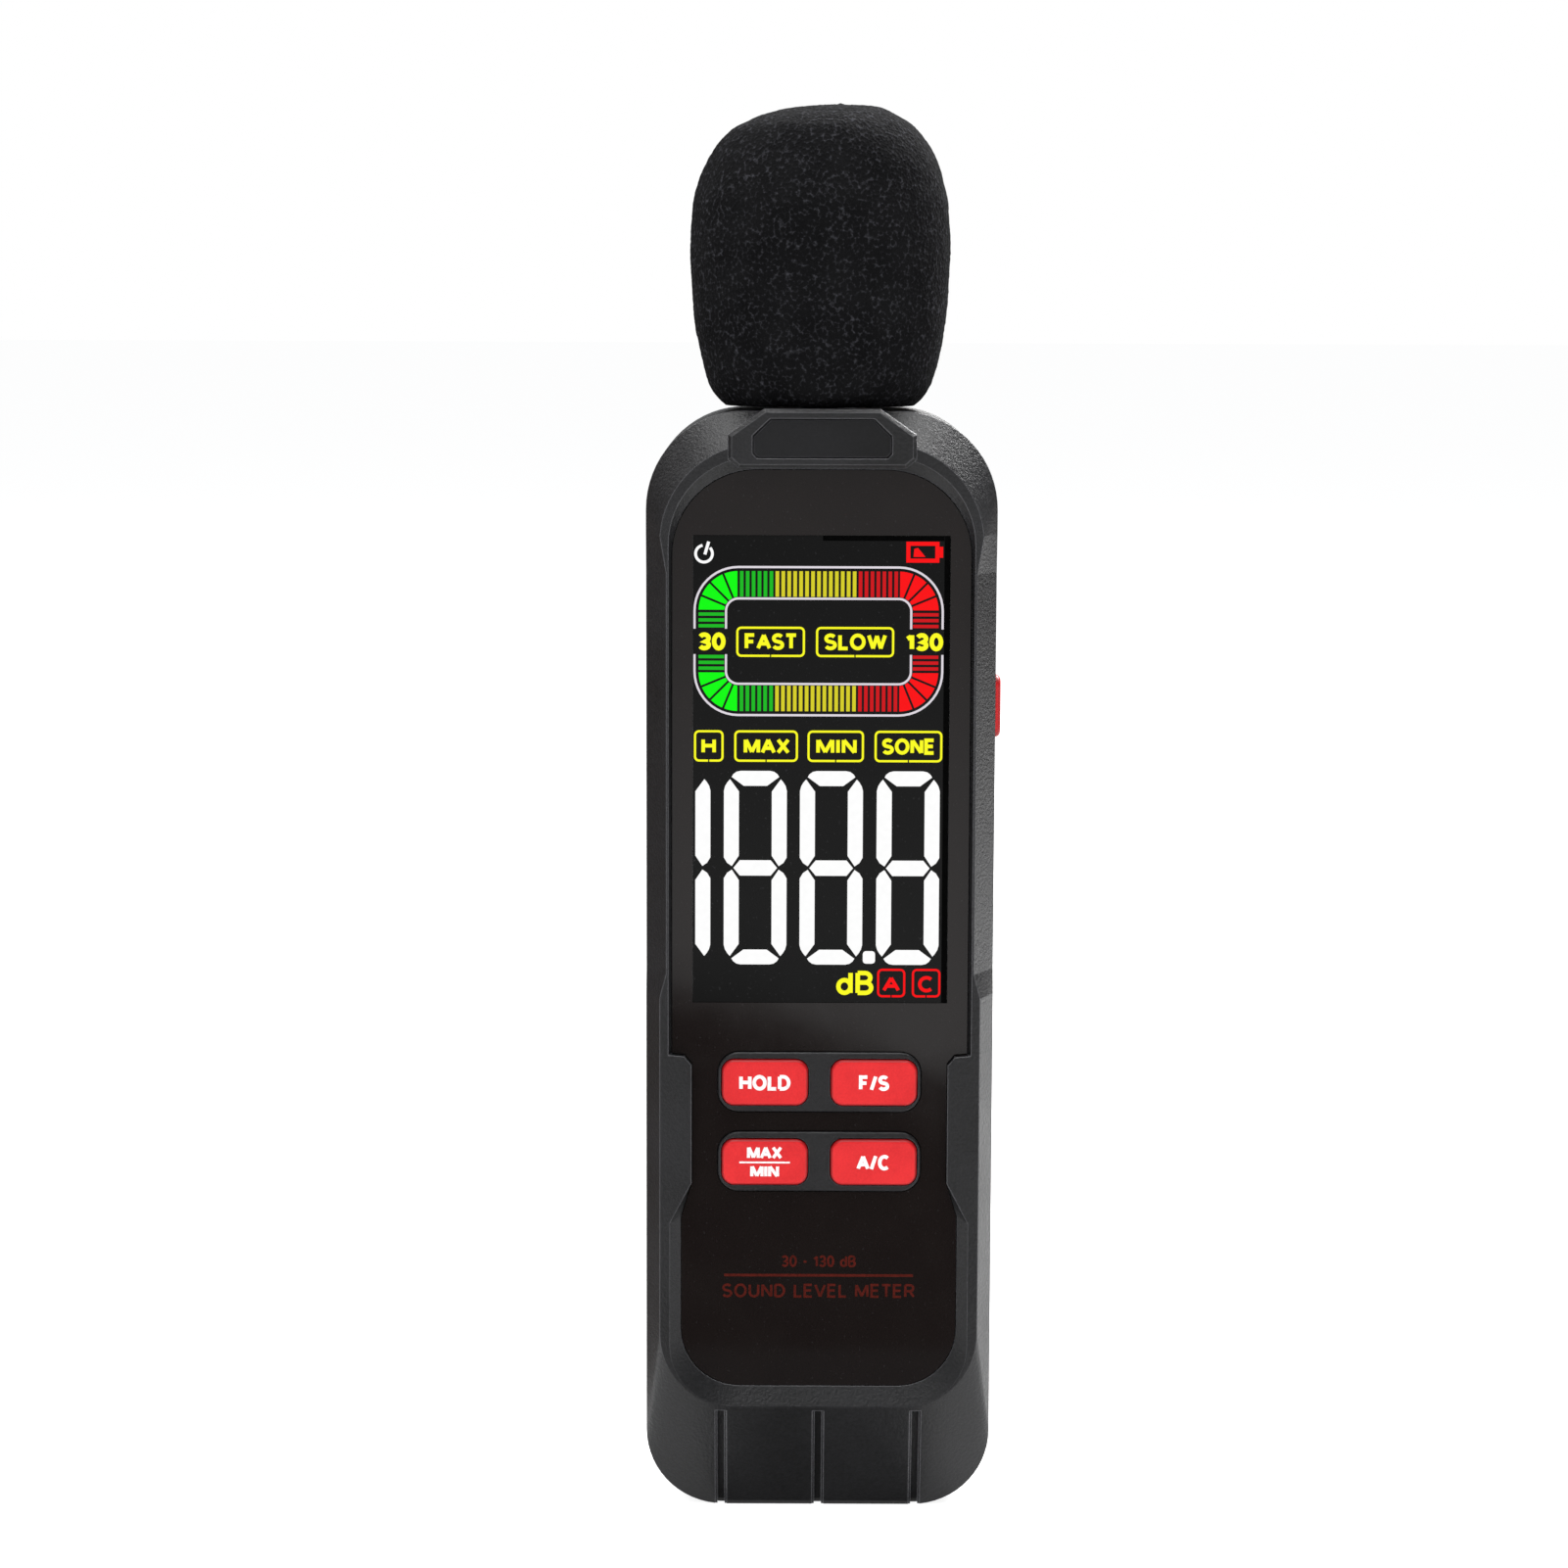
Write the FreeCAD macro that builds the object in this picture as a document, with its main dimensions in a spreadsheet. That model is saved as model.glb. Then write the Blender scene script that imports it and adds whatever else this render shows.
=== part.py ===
import FreeCAD, Part

import math
import os

import Sketcher
from FreeCAD import Placement, Rotation, Vector

# Handheld sound level meter, in millimetres.
# It stands on its flat bottom: +Z runs up its length, the display faces -Y and +X is to the
# right of somebody who reads it. The origin is the middle of the bottom.

DIMENSIONS = {
    # the two shells
    "case_width": 48.2, "case_depth": 31.0, "case_height": 153.7, "case_wall": 1.8,
    "case_top_radius": 13.5, "case_bottom_radius": 10.8, "case_back_fillet": 4.0,
    # the slope from the side walls to the front rim, which is the chin at the bottom
    "slope_depth": 4.5, "rim_width": 44.2, "rim_top": 149.4, "rim_bottom": 15.15,
    "rim_top_radius": 13.6, "rim_bottom_radius": 10.5,
    # the side scoops, where the slope is wider
    "scoop_width": 42.4, "scoop_depth": 5.5, "scoop_low_tip": 73.0, "scoop_low": 76.5,
    "scoop_high": 131.7, "scoop_high_tip": 137.2,
    # the front panel and the slopes that lead down to it
    "panel_sink": 1.2, "panel_thickness": 1.2, "panel_gap": 0.1,
    "panel_width": 41.0, "panel_top": 145.9, "panel_top_radius": 11.7,
    "wing_width": 35.4, "wing_top": 64.9, "wing_bottom": 47.1,
    "panel_low_width": 38.4, "panel_low_top": 42.2, "panel_bottom": 18.0,
    "panel_bottom_radius": 8.2,
    "brow_width": 41.8, "brow_top": 147.6, "brow_radius": 12.0,
    "crest_width": 41.4, "crest_top": 41.4, "crest_bottom": 15.4, "crest_radius": 8.5,
    # chin grooves
    "groove_width": 1.0, "groove_depth": 1.1, "groove_pitch": 13.6, "groove_lip": 0.3,
    "groove_lip_depth": 0.2,
    # nameplate
    "plate_rise": 0.5, "plate_top": 154.1, "plate_bottom": 146.1, "plate_top_width": 15.8,
    "plate_width": 25.6, "plate_shoulder": 150.6, "plate_elbow": 147.3, "plate_foot_width": 22.8,
    "inlay_top": 152.8, "inlay_bottom": 147.4, "inlay_top_width": 14.2, "inlay_width": 19.0,
    "inlay_shoulder": 150.5, "inlay_sink": 0.6, "inlay_thickness": 0.4,
    # display
    "display_width": 35.1, "display_bottom": 72.35, "display_top": 136.85,
    "glass_width": 38.0, "glass_bottom": 70.7, "glass_top": 138.5, "glass_thickness": 1.6,
    "backlight_thickness": 1.5,
    # keys and their bezels
    "key_width": 11.9, "key_height": 6.4, "key_radius": 1.7, "key_pitch": 15.1, "key_gap": 0.15,
    "key_rise": 0.65, "upper_key_row": 61.2, "lower_key_row": 50.0,
    "bezel_width": 28.1, "bezel_height": 8.4, "bezel_radius": 2.9, "bezel_rise": 0.4,
    # power button
    "power_low": 108.6, "power_high": 117.2, "power_rise": 0.8, "power_depth": 4.4,
    "power_centre": -6.5,
    # side grips
    "grip_front": 2.0, "grip_back": 9.0, "grip_bottom": 17.7, "grip_top": 139.2,
    "grip_sink": 0.6, "grip_rise": 0.2,
    # microphone and windscreen
    "tube_radius": 6.35, "tube_bore": 5.3, "tube_bottom": 138.7, "tube_top": 179.7,
    "barrel_radius": 6.1, "collar_radius": 6.7, "collar_bottom": 154.3, "collar_top": 165.7,
    "flange_radius": 8.0, "capsule_radius": 4.85, "foam_radius": 18.0, "foam_bottom": 154.1,
    "foam_top": 195.7, "foam_bore": 6.75, "foam_hollow": 7.05,
    # circuit board
    "board_front": -4.5, "board_thickness": 1.6, "board_width": 41.0, "board_bottom": 19.7,
    "board_top": 134.7,
    # batteries, each 10.5 across and 44.5 long
    "cell_radius": 5.25, "cell_length": 44.5, "cell_pitch": 10.9, "cell_centre": 8.2,
    "spring_length": 5.7, "bay_bottom": 15.9, "bay_width": 32.8, "bay_floor": 2.7,
    # battery cover
    "cover_width": 33.8, "cover_bottom": 13.7, "cover_top": 68.7, "cover_thickness": 1.6,
    "cover_gap": 0.15,
    # screws and the tripod insert, a quarter inch across
    "case_screw_high": 144.5, "case_screw_high_x": 17.2, "case_screw_low": 6.4,
    "case_screw_low_x": 16.8, "board_screw_x": 18.2, "board_screw_low": 23.7,
    "board_screw_high": 65.5,
    "tripod_height": 97.7, "tripod_radius": 3.175, "tripod_insert_radius": 4.6,
    "tripod_length": 8.0,
}

PLANES = {"x": ("YZ_Plane", 1), "y": ("XZ_Plane", -1), "z": ("XY_Plane", 1)}

document = FreeCAD.newDocument("sound_level_meter")
sheet = document.addObject("Spreadsheet::Sheet", "dims")
for row, (alias, number) in enumerate(DIMENSIONS.items(), start=1):
    sheet.set(f"A{row}", alias)
    sheet.set(f"B{row}", str(number))
    sheet.setAlias(f"B{row}", alias)
document.recompute()


class Size:
    """A length with the spreadsheet expression that it comes from."""

    def __init__(self, value, text):
        self.value = value
        self.text = text

    def __add__(self, other):
        other = as_size(other)
        return Size(self.value + other.value, f"({self.text} + {other.text})")

    def __sub__(self, other):
        other = as_size(other)
        return Size(self.value - other.value, f"({self.text} - {other.text})")

    def __mul__(self, factor):
        return Size(self.value * factor, f"({self.text} * {factor})")

    def __truediv__(self, divisor):
        return Size(self.value / divisor, f"({self.text} / {divisor})")

    def __neg__(self):
        return self * -1

    def __rsub__(self, other):
        return as_size(other) - self

    __radd__ = __add__
    __rmul__ = __mul__


def as_size(number):
    return number if isinstance(number, Size) else Size(number, f"({number})")


class Sheet:
    """Reads a driving dimension by its name."""

    def __getattr__(self, alias):
        return Size(DIMENSIONS[alias], f"dims.{alias}")


size = Sheet()
bodies = []


def bind(thing, name, length):
    """Tie a property to the spreadsheet."""
    thing.setExpression(name, as_size(length).text)


def new_body(label):
    body = document.addObject("PartDesign::Body", label)
    body.Label = label
    bodies.append(body)
    return body


def new_sketch(body, name, axis, position):
    """A sketch across an axis, at a coordinate along it."""
    role, normal = PLANES[axis]
    sketch = body.newObject("Sketcher::SketchObject", name)
    plane = next(feature for feature in body.Origin.OriginFeatures if feature.Role == role)
    sketch.AttachmentSupport = (plane, [""])
    sketch.MapMode = "FlatFace"
    bind(sketch, "AttachmentOffset.Base.z", as_size(position) * normal)
    return sketch


def place_point(sketch, geometry, vertex, x, y):
    """Hold a point at its distances from the sketch's origin."""
    for kind, distance in (("DistanceX", x), ("DistanceY", y)):
        if distance.value == 0:
            axis = -2 if kind == "DistanceX" else -1
            sketch.addConstraint(Sketcher.Constraint("PointOnObject", geometry, vertex, axis))
            continue
        constraint = Sketcher.Constraint(kind, -1, 1, geometry, vertex, distance.value)
        index = sketch.addConstraint(constraint)
        sketch.setExpression(f"Constraints[{index}]", distance.text)


def hold_radius(sketch, geometry, radius):
    index = sketch.addConstraint(Sketcher.Constraint("Radius", geometry, radius.value))
    sketch.setExpression(f"Constraints[{index}]", radius.text)


def draw_circle(sketch, x, y, radius):
    x, y, radius = as_size(x), as_size(y), as_size(radius)
    circle = Part.Circle(Vector(x.value, y.value, 0), Vector(0, 0, 1), radius.value)
    geometry = sketch.addGeometry(circle, False)
    place_point(sketch, geometry, 3, x, y)
    hold_radius(sketch, geometry, radius)


def corner_tangents(before, corner, after, radius):
    """Where a rounded corner's arc starts and ends, its centre and whether it turns left."""
    arriving = (corner - before).normalize()
    leaving = (after - corner).normalize()
    turn = arriving.cross(leaving).z
    half_angle = math.acos(max(-1.0, min(1.0, arriving.dot(leaving)))) / 2
    reach = radius * math.tan(half_angle)
    start = corner - arriving * reach
    end = corner + leaving * reach
    side = Vector(-arriving.y, arriving.x, 0) * (1 if turn > 0 else -1)
    return start, end, start + side * radius, turn > 0


def draw_outline(sketch, corners):
    """A closed outline through corners (x, y) or, where rounded, (x, y, radius)."""
    corners = [tuple(as_size(value) for value in corner) for corner in corners]
    points = [Vector(corner[0].value, corner[1].value, 0) for corner in corners]
    radii = [corner[2] if len(corner) == 3 else None for corner in corners]
    count = len(corners)
    starts, ends, arcs = list(points), list(points), [None] * count
    for i, radius in enumerate(radii):
        if radius is None:
            continue
        start, end, centre, turns_left = corner_tangents(
            points[i - 1], points[i], points[(i + 1) % count], radius.value)
        starts[i], ends[i] = start, end
        first, last = (start, end) if turns_left else (end, start)
        angles = [math.atan2(p.y - centre.y, p.x - centre.x) for p in (first, last)]
        if angles[1] < angles[0]:
            angles[1] += 2 * math.pi
        circle = Part.Circle(centre, Vector(0, 0, 1), radius.value)
        arcs[i] = (Part.ArcOfCircle(circle, *angles), turns_left)
    lines = []
    arc_ids = [None] * count
    for i in range(count):
        if arcs[i]:
            arc_ids[i] = sketch.addGeometry(arcs[i][0], False)
        segment = Part.LineSegment(ends[i], starts[(i + 1) % count])
        lines.append(sketch.addGeometry(segment, False))
    for i in range(count):
        arriving, leaving = lines[i - 1], lines[i]
        x, y = corners[i][0], corners[i][1]
        if radii[i] is None:
            sketch.addConstraint(Sketcher.Constraint("Coincident", arriving, 2, leaving, 1))
            place_point(sketch, leaving, 1, x, y)
            continue
        first, last = (1, 2) if arcs[i][1] else (2, 1)
        arc = arc_ids[i]
        sketch.addConstraint(Sketcher.Constraint("Tangent", arriving, 2, arc, first))
        sketch.addConstraint(Sketcher.Constraint("Tangent", leaving, 1, arc, last))
        hold_radius(sketch, arc, radii[i])
        corner = sketch.addGeometry(Part.Point(points[i]), True)
        place_point(sketch, corner, 1, x, y)
        sketch.addConstraint(Sketcher.Constraint("PointOnObject", corner, 1, arriving))
        sketch.addConstraint(Sketcher.Constraint("PointOnObject", corner, 1, leaving))


def draw(sketch, shapes):
    for shape in shapes:
        if shape[0] == "circle":
            draw_circle(sketch, *shape[1:])
        else:
            draw_outline(sketch, shape)


def disc(x, y, radius):
    return ("circle", x, y, radius)


def rectangle(x, y, width, height, radius=None):
    """A rectangle about a centre, anticlockwise from its upper right corner."""
    x, y, width, height = (as_size(value) for value in (x, y, width, height))
    corners = []
    for right, up in ((0.5, 0.5), (-0.5, 0.5), (-0.5, -0.5), (0.5, -0.5)):
        corner = (x + width * right, y + height * up)
        corners.append(corner + (radius,) if radius is not None else corner)
    return corners


def span(low_x, high_x, low_y, high_y, radius=None):
    """A rectangle between limits."""
    low_x, high_x, low_y, high_y = (as_size(value) for value in (low_x, high_x, low_y, high_y))
    return rectangle((low_x + high_x) / 2, (low_y + high_y) / 2,
                     high_x - low_x, high_y - low_y, radius)


def mirrored(right_half):
    """A whole outline from its right half, which is listed from the bottom to the top."""
    left_half = [(-as_size(corner[0]),) + tuple(corner[1:]) for corner in reversed(right_half)]
    return list(right_half) + left_half


def volume(body):
    return body.Shape.Volume if body.Tip and not body.Shape.isNull() else 0.0


def finish_feature(body, feature, before, adds):
    """Recompute, and stop if the feature did not change the body the way it should."""
    document.recompute()
    change = volume(body) - before
    if not feature.isValid() or change * (1 if adds else -1) < 1e-4:
        raise RuntimeError(f"{body.Label}: {feature.Name} changed the volume by {change:.4f}")
    return feature


def extrude(body, kind, name, axis, start, end, *shapes):
    """Pad or pocket some shapes along an axis, from one coordinate to another."""
    start, end = as_size(start), as_size(end)
    before = volume(body)
    sketch = new_sketch(body, f"{name}_sketch", axis, start)
    draw(sketch, shapes)
    feature = body.newObject(f"PartDesign::{kind}", name)
    feature.Profile = sketch
    rising = end.value > start.value
    along_normal = rising == (PLANES[axis][1] > 0)
    feature.Reversed = along_normal != (kind == "Pad")
    bind(feature, "Length", end - start if rising else start - end)
    return finish_feature(body, feature, before, kind == "Pad")


def pad(body, name, axis, start, end, *shapes):
    return extrude(body, "Pad", name, axis, start, end, *shapes)


def pocket(body, name, axis, start, end, *shapes):
    return extrude(body, "Pocket", name, axis, start, end, *shapes)


def loft(body, kind, name, axis, *sections):
    """A ruled loft through sections, each a coordinate and an outline."""
    before = volume(body)
    sketches = []
    for number, (position, outline) in enumerate(sections):
        sketch = new_sketch(body, f"{name}_section_{number}", axis, position)
        draw_outline(sketch, outline)
        sketches.append(sketch)
    feature = body.newObject(f"PartDesign::{kind}", name)
    feature.Profile = sketches[0]
    feature.Sections = sketches[1:]
    feature.Ruled = True
    return finish_feature(body, feature, before, kind == "AdditiveLoft")


def revolve(body, name, outline, offset=0.0):
    """Turn an outline (radius, height) about the Z axis."""
    before = volume(body)
    sketch = new_sketch(body, f"{name}_sketch", "y", offset)
    draw_outline(sketch, outline)
    feature = body.newObject("PartDesign::Revolution", name)
    feature.Profile = sketch
    feature.ReferenceAxis = (sketch, ["V_Axis"])
    feature.Angle = 360
    return finish_feature(body, feature, before, True)


def dress(body, kind, name, amount, chosen):
    """Fillet or chamfer the edges of the body that a test picks."""
    before = volume(body)
    tip = body.Tip
    edges = [f"Edge{number}" for number, edge in enumerate(tip.Shape.Edges, start=1)
             if chosen(edge)]
    feature = body.newObject(f"PartDesign::{kind}", name)
    feature.Base = (tip, edges)
    bind(feature, "Radius" if kind == "Fillet" else "Size", amount)
    return finish_feature(body, feature, before, False)


def pipe(body, name, side, axis, route, bend, radius):
    """A round wire along a route drawn on a plane, with its corners bent to a radius."""
    before = volume(body)
    path = new_sketch(body, f"{name}_path", axis, side)
    points = [Vector(float(a), float(b), 0) for a, b in route]
    position = points[0]
    previous = None
    for i in range(1, len(points)):
        target = points[i]
        arc = None
        if i < len(points) - 1:
            start, end, centre, turns_left = corner_tangents(
                points[i - 1], points[i], points[i + 1], bend)
            first, last = (start, end) if turns_left else (end, start)
            angles = [math.atan2(p.y - centre.y, p.x - centre.x) for p in (first, last)]
            if angles[1] < angles[0]:
                angles[1] += 2 * math.pi
            arc = Part.ArcOfCircle(Part.Circle(centre, Vector(0, 0, 1), bend), *angles)
            target = start
        line = path.addGeometry(Part.LineSegment(position, target), False)
        if previous is not None:
            path.addConstraint(Sketcher.Constraint("Coincident", previous[0], previous[1], line, 1))
        if arc is not None:
            bow = path.addGeometry(arc, False)
            near, far = (1, 2) if turns_left else (2, 1)
            path.addConstraint(Sketcher.Constraint("Coincident", line, 2, bow, near))
            previous = (bow, far)
            position = end
    if axis != "x" or abs(points[1].x - points[0].x) > 1e-9:
        raise RuntimeError(f"{name}: a wire starts along Z, on a plane across X")
    section = new_sketch(body, f"{name}_section", "z", points[0].y)
    draw_circle(section, side, points[0].x, radius)
    feature = body.newObject("PartDesign::AdditivePipe", name)
    feature.Profile = section
    feature.Spine = (path, [])
    return finish_feature(body, feature, before, True)


# ---------------------------------------------------------------- places that parts share

half_width = size.case_width / 2
rim_front = -size.case_depth / 2
back = size.case_depth / 2
slope_back = rim_front + size.slope_depth
panel_front = rim_front + size.panel_sink
panel_back = panel_front + size.panel_thickness
front_wall_back = panel_back + 1.5
back_wall_front = back - size.case_wall
board_back = size.board_front + size.board_thickness
bezel_front = panel_front - size.bezel_rise
key_front = bezel_front - size.key_rise
flange_front = front_wall_back + 0.1
flange_back = flange_front + 1.0
switch_height = 3.5
switch_front = size.board_front - switch_height
plunger_front = switch_front - 0.9
plunger_radius = 1.7
power_middle = (size.power_low + size.power_high) / 2
power_length = size.power_high - size.power_low
bay_top = size.bay_bottom + size.cell_length + size.spring_length + 1.2
display_middle = (size.display_bottom + size.display_top) / 2
display_height = size.display_top - size.display_bottom
KEYS = {
    "hold_key": (-size.key_pitch / 2, size.upper_key_row),
    "fast_slow_key": (size.key_pitch / 2, size.upper_key_row),
    "max_min_key": (-size.key_pitch / 2, size.lower_key_row),
    "weighting_key": (size.key_pitch / 2, size.lower_key_row),
}
CASE_SCREWS = [
    (side * x, z)
    for x, z in ((size.case_screw_high_x, size.case_screw_high),
                 (size.case_screw_low_x, size.case_screw_low))
    for side in (-1, 1)
]
BOARD_SCREWS = [
    (side * size.board_screw_x, z)
    for z in (size.board_screw_low, size.board_screw_high)
    for side in (-1, 1)
]
TAB_PLACES = (-9.0, 9.0)


def case_outline(inset=0.0):
    """The case seen from the front, drawn in from its edge by an inset."""
    low, high = as_size(inset), size.case_height - inset
    side = half_width - inset
    upper, lower = size.case_top_radius - inset, size.case_bottom_radius - inset
    return [(side, high, upper), (-side, high, upper), (-side, low, lower), (side, low, lower)]


def rim_outline():
    side = size.rim_width / 2
    return [(side, size.rim_top, size.rim_top_radius), (-side, size.rim_top, size.rim_top_radius),
            (-side, size.rim_bottom, size.rim_bottom_radius),
            (side, size.rim_bottom, size.rim_bottom_radius)]


def recess_outline(low_side, bottom, bottom_radius, elbow, side, top, top_radius, inset=0.0):
    """The panel's shape: wide at the display, narrow beside the keys, wide again below."""
    wing = size.wing_width / 2 - inset
    return mirrored([
        (low_side - inset, bottom + inset, bottom_radius),
        (low_side - inset, elbow),
        (wing, size.wing_bottom),
        (wing, size.wing_top - 1.2 + inset),
        (wing + 1.0, size.wing_top + inset),
        (side - inset, size.wing_top + 0.2 + inset),
        (side - inset, top - inset, top_radius),
    ])


def panel_outline(inset=0.0):
    return recess_outline(size.panel_low_width / 2, size.panel_bottom, size.panel_bottom_radius,
                          size.panel_low_top, size.panel_width / 2, size.panel_top,
                          size.panel_top_radius, inset)


def brow_outline():
    """The recess where it opens in the rim: wider than the panel at the brow and below."""
    return recess_outline(size.crest_width / 2, size.crest_bottom, size.crest_radius,
                          size.crest_top, size.brow_width / 2, size.brow_top, size.brow_radius)


def bezel_outline(row, grow=0.0):
    return rectangle(0, row, size.bezel_width + 2 * grow, size.bezel_height + 2 * grow,
                     size.bezel_radius + grow)


def key_outline(place, grow=0.0):
    return rectangle(*place, size.key_width + 2 * grow, size.key_height + 2 * grow,
                     size.key_radius + grow)


def plate_outline():
    return mirrored([
        (size.plate_foot_width / 2, size.plate_bottom),
        (size.plate_width / 2, size.plate_elbow),
        (size.plate_width / 2, size.plate_shoulder),
        (size.plate_top_width / 2, size.plate_top),
    ])


def inlay_outline(inset=0.0):
    return mirrored([
        (size.inlay_width / 2 - 0.6 - inset, size.inlay_bottom + inset),
        (size.inlay_width / 2 - inset, size.inlay_bottom + 0.6 + inset),
        (size.inlay_width / 2 - inset, size.inlay_shoulder - inset),
        (size.inlay_top_width / 2 - inset, size.inlay_top - inset),
    ])


def power_outline(grow=0.0):
    """The power button seen from the side: Y across, Z up."""
    return rectangle(size.power_centre, power_middle, size.power_depth + 2 * grow,
                     power_length + 2 * grow, 1.4 + grow)


# ---------------------------------------------------------------- shells

def scoop(body, name, side):
    """A wide slope cut along one side of the rim, with a pointed end at each end."""
    def cut(width, depth, clear):
        """A triangle that leaves a slope from the rim to the side wall."""
        near = width / 2 + clear
        run, reach = half_width - near, depth
        points = [(near - run * 0.2, rim_front - reach * 0.2),
                  (half_width + run * 0.2 + clear, rim_front + reach * 1.2),
                  (half_width + run * 0.2 + clear, rim_front - reach * 0.2)]
        return [(side * x, y) for x, y in points]

    narrow = cut(size.rim_width, size.slope_depth, 0.03)
    wide = cut(size.scoop_width, size.scoop_depth, 0.0)
    loft(body, "SubtractiveLoft", name, "z", (size.scoop_low_tip, narrow), (size.scoop_low, wide),
         (size.scoop_high, wide), (size.scoop_high_tip, narrow))


def chin_grooves(body):
    """Three straight grooves down the sloping chin, each with a shallow wider lip."""
    top = Vector(rim_front.value, size.rim_bottom.value, 0)
    foot = Vector(slope_back.value, 0, 0)
    down = (foot - top).normalize()
    inward = Vector(-down.y, down.x, 0)
    length = (foot - top).Length
    start_below_rim = 0.5

    def profile(depth):
        """Reaches 1 mm in front of the chin and runs out below it."""
        corners = [top + down * start_below_rim - inward, top + down * (length + 2) - inward,
                   top + down * (length + 2) + inward * depth,
                   top + down * start_below_rim + inward * depth]
        return [(corner.x, corner.y) for corner in corners]

    for number, place in enumerate((-size.groove_pitch, as_size(0), size.groove_pitch)):
        half = size.groove_width / 2
        lip = half + size.groove_lip
        pocket(body, f"groove_{number}", "x", place - half, place + half,
               profile(size.groove_depth.value))
        pocket(body, f"groove_lip_{number}", "x", place - lip, place + lip,
               profile(size.groove_lip_depth.value))


def front_case():
    body = new_body("front_case")
    pad(body, "walls", "y", 0, slope_back, case_outline())
    loft(body, "AdditiveLoft", "slopes", "y", (slope_back, case_outline()),
         (rim_front, rim_outline()))
    for side, name in ((-1, "left_scoop"), (1, "right_scoop")):
        scoop(body, name, side)
    loft(body, "SubtractiveLoft", "recess_slopes", "y", (rim_front, brow_outline()),
         (panel_front, panel_outline()))
    pocket(body, "panel_seat", "y", panel_front, panel_back, panel_outline())
    pad(body, "nameplate", "y", slope_back, rim_front - size.plate_rise, plate_outline())
    plate_front = rim_front - size.plate_rise
    dress(body, "Chamfer", "nameplate_edge", 0.48,
          lambda edge: all(abs(v.Y - plate_front.value) < 1e-6 for v in edge.Vertexes))
    pocket(body, "inlay_seat", "y", plate_front, plate_front + size.inlay_sink, inlay_outline())
    pad(body, "bezels", "y", panel_back + 0.5, bezel_front, bezel_outline(size.upper_key_row),
        bezel_outline(size.lower_key_row))
    dress(body, "Fillet", "bezel_edges", 0.3,
          lambda edge: all(abs(v.Y - bezel_front.value) < 1e-6 for v in edge.Vertexes))
    chin_grooves(body)
    # the hollow: shallow behind the chin, deeper behind the panel
    hollow_front = as_size(-9.2)
    pocket(body, "hollow", "y", 0, hollow_front, case_outline(size.case_wall))
    pocket(body, "deep_hollow", "y", hollow_front, front_wall_back,
           span(-21.9, 21.9, 16.7, 147.2, 9.0))
    pocket(body, "display_opening", "y", front_wall_back, panel_back - 0.5,
           span(-size.glass_width / 2 - 0.2, size.glass_width / 2 + 0.2,
                size.glass_bottom - 0.2, size.glass_top + 0.2))
    pocket(body, "key_holes", "y", front_wall_back, bezel_front - 0.5,
           *[key_outline(place, size.key_gap) for place in KEYS.values()])
    pad(body, "case_bosses", "y", 0, hollow_front - 0.3,
        *[disc(x, z, 3.2) for x, z in CASE_SCREWS])
    pocket(body, "case_pilots", "y", 0, -8.0, *[disc(x, z, 1.05) for x, z in CASE_SCREWS])
    pad(body, "board_posts", "y", size.board_front, front_wall_back - 0.3,
        *[disc(x, z, 2.3) for x, z in BOARD_SCREWS])
    pocket(body, "board_pilots", "y", size.board_front, -8.8,
           *[disc(x, z, 0.95) for x, z in BOARD_SCREWS])
    microphone_cradle(body, hollow_front - 0.3)
    pocket(body, "power_slot", "x", half_width + 0.5, half_width - size.case_wall - 0.5,
           power_outline(0.15))


def microphone_cradle(body, far):
    """Two ribs that hold the microphone tube, one each side of its flange, and its way out."""
    pad(body, "cradle", "y", 0, far, span(-9.5, 9.5, 141.1, 144.1), span(-9.5, 9.5, 147.3, 150.1))
    top_of_case = size.case_height
    pocket(body, "cradle_bore", "z", 150.7, 139.7, disc(0, 0, size.barrel_radius + 0.05))
    pocket(body, "microphone_hole", "z", top_of_case + 0.5, top_of_case - size.case_wall - 0.5,
           disc(0, 0, size.tube_radius + 0.15))


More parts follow.
